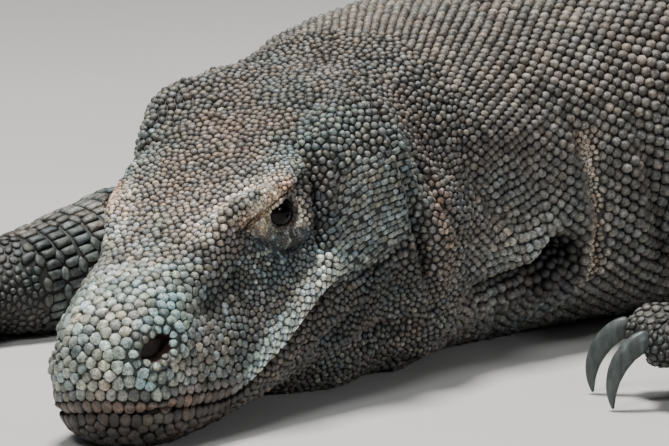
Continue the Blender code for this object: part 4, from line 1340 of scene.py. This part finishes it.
def scale_points(shape, places, normals, lie, cross, reach, height, keel):
    """Points of many scales of one shape: their rings from the skin up, and their tops."""
    _, rings, shift = SHAPES[shape]
    turns = turns_of(shape)
    size = reach.mean(1)
    spokes = np.cos(turns)[:, None] * lie[:, None] + np.sin(turns)[:, None] * cross[:, None]
    ridge = keel[:, None] * np.abs(np.cos(turns)) ** 4
    layers = []
    for share, level in rings:
        lift = height[:, None] * (level + (ridge * share if level > 0 else 0))
        lean = lie[:, None] * (size * shift * max(level, 0))[:, None, None]
        ring = spokes * (reach * share)[..., None] + normals[:, None] * lift[..., None]
        layers.append(places[:, None] + ring + lean)
    top = places + normals * (height * (1 + keel))[:, None]
    top = top + lie * (size * shift)[:, None]
    points = np.concatenate(layers + [top[:, None]], 1)
    points[..., 2] = np.maximum(points[..., 2], SCALE_LOWEST)
    return points


def make_coat(surface, places, triangles, kind):
    """All scales, as joined meshes of less than 200,000 triangles."""
    labels = surface.labels[triangles]
    normals = unit(surface.at(surface.normals, places, triangles))
    lie = lie_directions(places, labels)
    lie = unit(lie - normals * dots(lie, normals))
    cross = np.cross(normals, lie)
    pitch = scale_pitch(places, triangles, surface)
    for name, (along, _) in BOXES.items():
        pitch = np.where(kind == name, along, pitch)
    s, head = to_body(places)[:, 0], to_head(places)
    luck = np.random.default_rng(11).random((len(places), 4))
    height_share, width_share, keel = coat_measures(s, head, labels, kind, pitch)
    folds = surface.at(surface.folds, places, triangles)[:, 0]
    colours = coat_colours(places, normals, folds, labelled(labels, *HEAD_NODES), luck)
    spot, zoom = unwrapped(places, labels)
    index, distance = neighbours_of(places, 10)
    pieces = []
    for name, shape, part in coat_parts(s, labels, kind, pitch):
        sides, rings, _ = SHAPES[shape]
        lay = lie[part], cross[part]
        offsets = places[index[part]] - places[part, None]
        reach = reaches(shape, offsets, distance[part], *lay, pitch[part])
        reach = np.maximum(reach * width_share[part, None], LEAST_REACH)
        height = 2 * reach.mean(1) * height_share[part] * (0.70 + 0.6 * luck[part, 3])
        points = scale_points(shape, places[part], normals[part], *lay, reach, height, keel[part])
        # painted shade at the base of each scale and a painted highlight on its top
        *ring_painted_shades, top_painted_highlight = RING_PAINTED_LIGHT[shape]
        shade = np.concatenate([np.repeat(ring_painted_shades, sides), [top_painted_highlight]])
        tone = colours[part, None] * shade[None, :, None]
        width = np.minimum(PATCH, 0.8 * pitch[part] * zoom) / 2
        circle = np.stack([np.cos(turns_of(shape)), np.sin(turns_of(shape))], 1)
        uv = np.concatenate([circle * share for share, _ in rings] + [[[0, 0]]])
        uv = spot[part, None] + uv[None] * width[:, None, None]
        pieces.append(many_copies(name, points, scale_faces(shape), uv, tone))
    return pieces


# ---- colours -------------------------------------------------------------------------------------

# Markings, with a few painted shadows in hollows and creases, as (frame, centre, reach, colour,
# strength), laid one over the other; centres and reaches are laid out as places of the folds are.
MARKINGS = [
    ("body", (0.30, 0.00, 0.150), (0.16, 0.08, 0.045), (0.152, 0.134, 0.112), 0.9),
    ("body", (0.32, 0.07, 0.085), (0.12, 0.04, 0.035), (0.140, 0.135, 0.124), 0.8),
    ("body", (0.29, 0.07, 0.030), (0.12, 0.05, 0.035), (0.175, 0.180, 0.168), 0.8),
    ("body", (0.272, 0.070, 0.054), (0.036, 0.03, 0.010), (0.27, 0.285, 0.260), 0.8),
    # these two: painted shadow in the hollow under the neck's ledge fold
    ("body", (0.299, 0.067, 0.030), (0.024, 0.04, 0.011), (0.026, 0.026, 0.028), 0.95),
    ("body", (0.308, 0.068, 0.0440), (0.016, 0.04, 0.0120), (0.012, 0.012, 0.013), 1.0),
    ("body", (0.198, 0.068, 0.074), (0.009, 0.02, 0.018), (0.31, 0.210, 0.155), 0.9),
    ("body", (0.205, 0.055, 0.110), (0.016, 0.03, 0.024), (0.100, 0.082, 0.070), 0.8),
    ("body", (0.45, 0.00, 0.150), (0.12, 0.14, 0.050), (0.168, 0.150, 0.128), 0.8),
    ("body", (0.45, 0.12, 0.080), (0.12, 0.05, 0.050), (0.056, 0.058, 0.054), 0.85),
    ("head", (0.010, 0.000, 0.020), (0.045, 0.050, 0.030), (0.27, 0.300, 0.262), 1.0),
    ("head", (0.035, 0.000, 0.045), (0.050, 0.022, 0.020), (0.46, 0.465, 0.405), 1.0),
    ("head", (0.100, 0.000, 0.060), (0.060, 0.030, 0.020), (0.315, 0.292, 0.246), 1.0),
    ("head", (0.160, 0.000, 0.066), (0.060, 0.055, 0.020), (0.126, 0.130, 0.112), 1.0),
    ("head", (0.165, 0.060, 0.035), (0.035, 0.020, 0.026), (0.165, 0.186, 0.170), 0.9),
    ("head", (0.155, 0.058, 0.012), (0.040, 0.020, 0.012), (0.215, 0.260, 0.254), 0.9),
    ("head", (0.070, 0.034, 0.024), (0.036, 0.016, 0.009), (0.118, 0.150, 0.140), 1.0),
    ("head", (0.108, 0.042, 0.026), (0.028, 0.016, 0.012), (0.078, 0.102, 0.106), 1.0),
    ("head", (0.138, 0.045, 0.036), (0.014, 0.016, 0.020), (0.100, 0.110, 0.108), 0.9),
    ("head", (0.150, 0.008, 0.066), (0.022, 0.022, 0.020), (0.222, 0.178, 0.144), 0.8),
    ("head", (0.112, 0.006, 0.060), (0.022, 0.016, 0.020), (0.30, 0.245, 0.200), 0.7),
    ("head", (0.082, 0.018, 0.050), (0.012, 0.010, 0.014), (0.30, 0.230, 0.185), 0.7),
    ("head", (0.196, 0.020, 0.070), (0.020, 0.018, 0.020), (0.160, 0.138, 0.118), 0.8),
    ("head", (0.166, 0.042, 0.062), (0.022, 0.012, 0.008), (0.150, 0.176, 0.160), 0.8),
    ("head", (0.034, 0.022, 0.034), (0.014, 0.010, 0.010), (0.27, 0.342, 0.314), 0.9),
    ("head", (0.012, 0.024, 0.010), (0.012, 0.014, 0.010), (0.25, 0.340, 0.315), 0.7),
    ("head", (0.1295, 0.039, 0.0610), (0.012, 0.012, 0.0065), (0.32, 0.355, 0.325), 0.9),
    # painted shade in the crease behind the eye
    ("head", (0.1360, 0.045, 0.0400), (0.0055, 0.012, 0.0150), (0.035, 0.039, 0.041), 0.9),
    ("head", (0.060, 0.000, -0.050), (0.110, 0.060, 0.030), (0.175, 0.165, 0.148), 1.0),
    ("head", (0.150, 0.045, -0.014), (0.042, 0.030, 0.015), (0.026, 0.028, 0.029), 0.95),
    ("head", (0.180, 0.040, -0.048), (0.050, 0.040, 0.024), (0.132, 0.126, 0.116), 0.95),
]
# Stripes as (frame, line, width, colour, strength), laid over the markings; the last two are
# painted shade along the brow crease and along the fold round the lower side of the eye.
STRIPES = [
    ("body", TAN_FOLD, 0.0052, (0.50, 0.420, 0.335), 0.95),
    ("head", [(0.078, 0.022, 0.0480), (0.0888, 0.0240, 0.0513), (0.0949, 0.0250, 0.0531),
        (0.1015, 0.0275, 0.0552), (0.1072, 0.0310, 0.0568), (0.1117, 0.0345, 0.0580),
        (0.118, 0.0385, 0.0590)], 0.0036, (0.66, 0.620, 0.545), 0.95),
    ("head", [(0.0949, 0.0300, 0.0528), (0.1015, 0.0335, 0.0552), (0.1072, 0.0370, 0.0566)],
        0.0034, (0.68, 0.580, 0.470), 0.9),
    ("head", [(0.094, 0.033, 0.0492), (0.1000, 0.0355, 0.0516), (0.1040, 0.0378, 0.0532),
        (0.1093, 0.0398, 0.0546), (0.118, 0.0425, 0.0556)], 0.0027, (0.68, 0.440, 0.300), 0.95),
    ("head", [(0.1010, 0.0345, 0.0454), (0.1062, 0.0372, 0.0476)], 0.0044, (0.96, 0.660, 0.450),
        1.0),
    ("head", [(0.1245, 0.0430, 0.0445), (0.1226, 0.0432, 0.0375)], 0.0032, (0.88, 0.850, 0.710),
        0.95),
    # painted shade along the crease under the overhanging brow
    ("head", BROW_CREASE, 0.0012, (0.022, 0.013, 0.010), 0.95),
    # painted shade along the fold round the lower side of the eye
    ("head", ORBIT_FOLD, 0.0018, (0.016, 0.019, 0.022), 0.85),
]
BASE_COLOUR = np.array((0.112, 0.108, 0.098))
DUST_COLOUR = np.array((0.30, 0.255, 0.205))
LIP_COLOUR = np.array((0.66, 0.800, 0.755))
LIP_BROWN = np.array((0.074, 0.039, 0.027))
JAW_COLOUR = np.array((0.018, 0.011, 0.008))
MOUTH_COLOUR = np.array((0.050, 0.020, 0.015))
ORBIT_PALE = np.array((0.30, 0.290, 0.255))
FOOT_COLOUR, FOREARM_COLOUR = (0.018, 0.0155, 0.013), (0.094, 0.134, 0.127)
LIMB_COLOURS = (("forearm", FOREARM_COLOUR, 0.11), ("hand", FOOT_COLOUR, 0.09),
    ("foot", FOOT_COLOUR, 0.09))  # with the reach from the middle of the limb
# Speckled skin of the head: centre, reach, dark and pale colour, strength.
MOTTLES = [
    ((0.1085, 0.040, 0.0335), (0.019, 0.016, 0.0085), (0.015, 0.021, 0.026), (0.25, 0.275, 0.262),
        0.95),
    ((0.0780, 0.035, 0.0250), (0.030, 0.018, 0.0110), (0.064, 0.086, 0.082), (0.34, 0.415, 0.390),
        0.8),
]
GAP_PAINTED_SHADE = 0.13  # painted shade of the skin between the scales, as a share of their colour
COOL_SHIFT = np.array((-0.20, 0.05, 0.10))  # from a warm patch of hide to a cool one


def painted_fold_shade(folds):
    """Painted shade deep in a fold, as a share of the hide's colour."""
    return 1 - 0.84 * smooth_step(-folds, 0.0014, 0.0056)


def blend(colours, share, colour):
    """Colours with a share of another one laid over them."""
    return colours + share[:, None] * (np.array(colour) - colours)


def blot(places, centre, reach):
    """Strength, 0 to 1, of a soft-edged blot at each place."""
    offset = (places - np.array(centre)) / reach
    return np.exp(-((offset**2).sum(1) ** 1.5))


def hide_colours(points, normals):
    """Colour of the hide at each place, from where on the animal it is, with painted shade in a few
    hollows and creases.
    """
    head, body = mirrored(to_head(points)), mirrored(to_body(points))
    frames = {"head": head, "body": body}
    colours = np.repeat(BASE_COLOUR[None], len(points), 0)
    for side in SIDES:
        for limb, colour, reach in LIMB_COLOURS:
            offset = points - node_centre(f"{limb}_{side}")
            near = bell(np.linalg.norm(offset, axis=1), reach) * (body[:, 1] > 0.09)
            colours = blend(colours, near, colour)
    for frame_name, centre, reach, colour, strength in MARKINGS:
        share = strength * blot(frames[frame_name], centre, reach)
        colours = blend(colours, share, colour)
    above = head[:, 2] - mouth_level(head[:, 0])
    along = (1 - smooth_step(head[:, 0], 0.125, 0.142)) * (head[:, 1] < 0.07)
    rear = smooth_step(head[:, 0], 0.050, 0.085)
    band = 1 - smooth_step(above, 0.004 + 0.008 * rear, 0.008 + 0.010 * rear)
    band = smooth_step(above, -0.001, 0.002) * band
    front = (1 - smooth_step(head[:, 0], 0.040, 0.070)) * bell(above - 0.002, 0.0070)
    below = along * (1 - smooth_step(above, -0.0025, 0.0008)) * (1 - 0.85 * rear)
    for share, colour in ((along * rear * band, LIP_COLOUR), (0.90 * (along * front), LIP_BROWN),
            (0.90 * below, JAW_COLOUR), (along * bell(above, 0.0013), MOUTH_COLOUR)):
        colours = blend(colours, share, colour)
    flecks = smooth_step(noise_at(points, 0.0028, 31), 0.02, 0.30)[:, None]
    for centre, reach, dark, pale, strength in MOTTLES:
        speckled = dark + flecks * (np.array(pale) - dark)
        colours = blend(colours, strength * blot(head, centre, reach), speckled)
    level = np.array((1, 0.4, 1))  # a line's distance counts less across the folded surface
    for frame_name, line, width, colour, strength in STRIPES:
        part = near_line(frames[frame_name], line, 0.012)
        places = frames[frame_name][part] * level
        distance, _ = distance_to_line(places, np.array(line) * level)
        colours[part] = blend(colours[part], strength * bell(distance, width), colour)
    for side in SIDES.values():
        share, turn, distance, _ = around_eye(to_head(points), side)
        near = (distance < EYE_RADIUS * 1.9) * smooth_step(-np.sin(turn), -0.5, 0.3)
        for place, width, colour in ((1.22, 0.05, ORBIT_PALE), (1.04, 0.08, MOUTH_COLOUR)):
            colours = blend(colours, 0.7 * near * bell(share - place, width), colour)
    patches = noise_at(points, 0.060, 21) + 0.5 * noise_at(points, 0.018, 22)
    up = smooth_step(normals[:, 2], 0.0, 0.8)
    behind = smooth_step(body[:, 0], 0.15, 0.24)
    dust = smooth_step(patches, 0.05, 0.55) * (0.25 + 0.75 * up) * (0.15 + 0.33 * behind)
    colours = blend(colours, dust, DUST_COLOUR)
    mottle = noise_at(points, 0.011, 23)
    hue = noise_at(points, 0.022, 24) + 0.6 * noise_at(points, 0.007, 25)
    cool = np.clip(hue, -1, 1)[:, None] * COOL_SHIFT * (1 - 0.5 * behind)[:, None]
    return colours * (1 + 0.25 * mottle)[:, None] * (1 + cool)


# ---- materials -----------------------------------------------------------------------------------


class Look:
    """A node material with a Principled shader; a socket can be given a value or a link."""

    def __init__(self, name, **sockets):
        self.material = bpy.data.materials.new(name)
        self.material.use_nodes = True
        self.tree = self.material.node_tree
        self.place = self.node("ShaderNodeTexCoord", {}).outputs["Object"]
        self.shade(**sockets)

    def node(self, kind, sockets, **settings):
        node = self.tree.nodes.new(kind)
        for name, value in settings.items():
            setattr(node, name, value)
        self.fill(node, sockets)
        return node

    def fill(self, node, sockets):
        for key, value in sockets.items():
            if isinstance(value, bpy.types.NodeSocket):
                self.tree.links.new(value, node.inputs[key])
            else:
                node.inputs[key].default_value = value

    def shade(self, **sockets):
        """Set or link sockets of the shader, named with low lines for spaces."""
        named = {name.replace("_", " "): value for name, value in sockets.items()}
        self.fill(self.tree.nodes["Principled BSDF"], named)

    def noise(self, scale, detail, roughness=0.5, place=None):
        sockets = {"Vector": place or self.place, "Scale": scale, "Detail": detail,
            "Roughness": roughness}
        return self.node("ShaderNodeTexNoise", sockets).outputs["Fac"]

    def spread(self, source, low, high, low_in=0.3, high_in=0.7):
        """A value mapped from one range to another, clamped."""
        sockets = {"Value": source, "From Min": low_in, "From Max": high_in, "To Min": low,
            "To Max": high}
        return self.node("ShaderNodeMapRange", sockets).outputs["Result"]

    def mix(self, share, first, second):
        """The first colour with a share of the second."""
        sockets = {0: share, 6: first, 7: second}
        return self.node("ShaderNodeMix", sockets, data_type="RGBA").outputs[2]

    def stored_colour(self, factor):
        """The stored colours, made lighter or darker by a factor; on the hide they hold the
        markings with painted shade and highlight.
        """
        stored = self.node("ShaderNodeAttribute", {}, attribute_name="stored_colour").outputs["Color"]
        sockets = {0: stored, "Scale": factor}
        return self.node("ShaderNodeVectorMath", sockets, operation="SCALE").outputs["Vector"]

    def bump(self, height, strength, distance):
        sockets = {"Height": height, "Strength": strength, "Distance": distance}
        self.shade(Normal=self.node("ShaderNodeBump", sockets).outputs["Normal"])


def hide_material(name, bump_height, rough_low, rough_high, most_dust):
    """Dusty reptile hide: stored markings with their painted shade and highlight, fine speckle,
    worn and dusty spots, and a fine grain.
    """
    look = Look(name, Specular_IOR_Level=0.55)
    light = look.spread(look.noise(1400.0, 5.0, 0.72), 0.42, 1.58, 0.37, 0.63)
    blots = look.spread(look.noise(360.0, 3.0, 0.6), 0.48, 1.28, 0.38, 0.60)
    both = look.node("ShaderNodeMath", {0: light, 1: blots}, operation="MULTIPLY").outputs[0]
    grime = look.noise(95.0, 5.0, 0.6)
    dust = look.spread(grime, 0.0, most_dust, 0.5, 0.75)
    look.shade(Base_Color=look.mix(dust, look.stored_colour(both), (0.21, 0.185, 0.15, 1)),
        Roughness=look.spread(grime, rough_low, rough_high))
    look.bump(look.noise(1100.0, 5.0, 0.70), 0.55, bump_height)
    return look.material


def claw_material():
    """Grey horn: streaks along the claw, and brown stains."""
    look = Look("horn", Specular_IOR_Level=0.3)
    sockets = {"Vector": look.place, "Scale": (1.0, 0.35, 0.25)}
    stretched = look.node("ShaderNodeMapping", sockets).outputs["Vector"]
    streak, cloud = look.noise(420.0, 5.0, 0.6, stretched), look.noise(110.0, 3.0)
    horn = look.mix(look.spread(streak, 0.0, 1.0), (0.036, 0.044, 0.043, 1),
        (0.108, 0.128, 0.123, 1))
    stain = look.spread(cloud, 0.0, 0.45, 0.50, 0.70)
    look.shade(Base_Color=look.mix(stain, horn, (0.050, 0.044, 0.036, 1)),
        Roughness=look.spread(cloud, 0.28, 0.50))
    look.bump(streak, 0.4, 0.0002)
    return look.material


def eye_material():
    """Dark wet eye with the stored iris and pupil."""
    look = Look("wet_eye", Roughness=0.03, Specular_IOR_Level=0.10)
    look.shade(Base_Color=look.stored_colour(look.spread(look.noise(1500.0, 3.0), 0.6, 1.4)))
    return look.material


def floor_material():
    """Plain pale studio floor with a faint unevenness."""
    look = Look("pale_floor", Roughness=0.85)
    look.shade(Base_Color=look.mix(look.noise(3.0, 4.0), (0.50, 0.49, 0.47, 1),
        (0.60, 0.59, 0.57, 1)))
    return look.material


# ---- eyes and claws ------------------------------------------------------------------------------

EYE_RINGS, EYE_TURNS = 40, 64
PUPIL, IRIS = math.radians(15), math.radians(36)
IRIS_COLOUR, WHITE_COLOUR = np.array((0.0035, 0.0030, 0.003)), np.array((0.005, 0.0055, 0.006))
CORNEA_RISE, CORNEA_WIDTH = 0.0006, math.radians(34)
EYE_SUNK = 0.0007  # how far the eyeball stays inside its CAD solid


def make_eye(side_name):
    """One eyeball with a slightly domed cornea, looking the way the lids open."""
    centre, aim, front, rise = eye_frame(SIDES[side_name])
    points, tones = [], []
    for angle in np.linspace(0, math.pi, EYE_RINGS + 1):
        reach = EYE_RADIUS - EYE_SUNK + CORNEA_RISE * bell(angle, CORNEA_WIDTH)
        for turn in np.arange(EYE_TURNS) * 2 * math.pi / EYE_TURNS:
            flat = math.cos(turn) * front + math.sin(turn) * rise
            points.append(centre + reach * (math.cos(angle) * aim + math.sin(angle) * flat))
        iris = 1 - smooth_step(angle, IRIS, IRIS * 1.12)
        rim = 1 + 0.8 * bell(angle - IRIS * 0.9, 0.1)
        tone = WHITE_COLOUR + iris * (IRIS_COLOUR * rim - WHITE_COLOUR)
        tone = tone * smooth_step(angle, PUPIL, PUPIL * 1.2) + 0.001
        tones += [tone] * EYE_TURNS
    faces = []
    for low in range(0, EYE_RINGS * EYE_TURNS, EYE_TURNS):
        for k in range(EYE_TURNS):
            after = (k + 1) % EYE_TURNS
            faces.append((low + k, low + EYE_TURNS + k, low + EYE_TURNS + after, low + after))
    mesh = bpy.data.meshes.new(f"eyeball_{side_name}")
    mesh.from_pydata(from_head(np.array(points)).tolist(), [], faces)
    paint(mesh, np.array(tones))
    bm = bmesh.new()
    bm.from_mesh(mesh)
    bmesh.ops.remove_doubles(bm, verts=bm.verts, dist=1e-7)
    bmesh.ops.recalc_face_normals(bm, faces=bm.faces)
    bm.to_mesh(mesh)
    bm.free()
    mesh.shade_smooth()
    return added(f"eyeball_{side_name}", mesh)


def finish_claws(material):
    """Round the claws' facets off and give them the look of horn."""
    for obj in (bpy.data.objects[name] for name in NODES if "claw" in name):
        obj.data.materials.clear()
        obj.data.materials.append(material)
        obj.modifiers.new("weld", "WELD").merge_threshold = 0.00002
        smooth = obj.modifiers.new("round", "SUBSURF")
        smooth.levels = smooth.render_levels = 2
        obj.data.shade_smooth()


# ---- floor, light and camera ---------------------------------------------------------------------

LIGHTS = [  # name, place from the aim, width, power, colour
    ("overhead", (-0.35, 0.25, 1.9), 0.5, 70, (1.0, 0.985, 0.96)),
    ("window", (-0.9, -1.5, 1.6), 0.5, 21, (0.96, 0.98, 1.0)),
    ("fill", (1.1, -1.7, 0.85), 0.28, 7.0, (0.95, 0.97, 1.0)),
    ("catchlight", (1.5, -1.5, 1.0), 0.16, 2.0, (0.96, 0.98, 1.0)),
]
CAMERA_DISTANCE, CAMERA_DROP = 2.5, math.radians(10)
SENSOR_WIDTH = 36  # millimetres
VIEW_WIDTH = 0.2877  # of the picture, at the distance of the snout
VIEW_RIGHT, VIEW_UP, VIEW_BACK = 0.0984, 0.0959, 0.1  # from the ground under the snout


def make_floor():
    middle = [(low + high) / 2 for low, high in zip(*CAD_BOX)]
    bpy.ops.mesh.primitive_plane_add(size=14, location=(middle[0], middle[1], 0))
    floor = bpy.context.object
    floor.name = "studio_floor"
    floor.data.materials.append(floor_material())


def turned_to(way):
    """Rotation of a light or camera that looks along a direction, its top side up."""
    return Vector(way.tolist()).to_track_quat("-Z", "Y").to_euler()


def light_scene():
    """Soft light, mostly from above, as under an open roof; a weak fill from the camera's side."""
    aim = GROUND_SNOUT + np.array((0.25, 0.1, 0.08))
    for name, offset, width, power, colour in LIGHTS:
        light = bpy.data.lights.new(name, "AREA")
        light.shape = "RECTANGLE"
        light.size = light.size_y = width
        light.energy, light.color = power, colour
        lamp = added(name, light)
        lamp.location = aim + np.array(offset)
        lamp.rotation_euler = turned_to(-np.array(offset))
    world = bpy.data.worlds.new("studio")
    world.use_nodes = True
    background = world.node_tree.nodes["Background"].inputs
    background["Color"].default_value = (0.80, 0.85, 0.92, 1)
    background["Strength"].default_value = 0.10
    bpy.context.scene.world = world


def place_camera():
    """Low in front of the head and a little above it, looking along the floor as the photo does."""
    up = np.array((0, math.sin(CAMERA_DROP), math.cos(CAMERA_DROP)))
    ahead = np.array((0, math.cos(CAMERA_DROP), -math.sin(CAMERA_DROP)))
    target = GROUND_SNOUT + np.array((VIEW_RIGHT, 0, 0)) + up * VIEW_UP + ahead * VIEW_BACK
    camera = bpy.data.cameras.new("camera")
    camera.sensor_width = SENSOR_WIDTH
    camera.lens = SENSOR_WIDTH * CAMERA_DISTANCE / VIEW_WIDTH
    camera.clip_start, camera.clip_end = 0.1, 50
    holder = added("camera", camera)
    holder.location = target - ahead * CAMERA_DISTANCE
    holder.rotation_euler = turned_to(ahead)
    bpy.context.scene.camera = holder


# ---- the whole -----------------------------------------------------------------------------------


def build():
    skin = make_skin()
    bare, folds = sculpt(skin)
    surface = Surface(skin, bare, folds)
    places, triangles, kind = place_scales(surface)
    # Painted shade on the skin: darkened between the scales as if in shade, less so round the eyes
    # where it is finely grained, and darker still deep in folds.
    near_eye = smooth_step(eye_skin(mirrored(to_head(surface.points))), 0.3, 0.6)
    shade = np.maximum(GAP_PAINTED_SHADE, 0.6 * near_eye) * painted_fold_shade(folds)
    colours = hide_colours(surface.points, surface.normals) * shade[:, None]
    paint(skin.data, blend(colours, smooth_step(bare, 0.2, 0.8), 0.6 * MOUTH_COLOUR))
    skin.data.materials.append(hide_material("bare_hide", 0.0003, 0.50, 0.75, 0.04))
    skin.data.shade_smooth()
    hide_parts(*FLESH)
    coat_material = hide_material("scaly_hide", 0.00055, 0.34, 0.60, 0.28)
    pieces = make_coat(surface, places, triangles, kind)
    for piece in pieces:
        piece.data.materials.append(coat_material)
    for piece in [skin, *pieces]:
        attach(piece, "root")
    wet = eye_material()
    for side in SIDES:
        eye = make_eye(side)
        eye.data.materials.append(wet)
        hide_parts(f"eye_{side}")
        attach(eye, "root")
    finish_claws(claw_material())
    make_floor()
    light_scene()
    place_camera()


build()
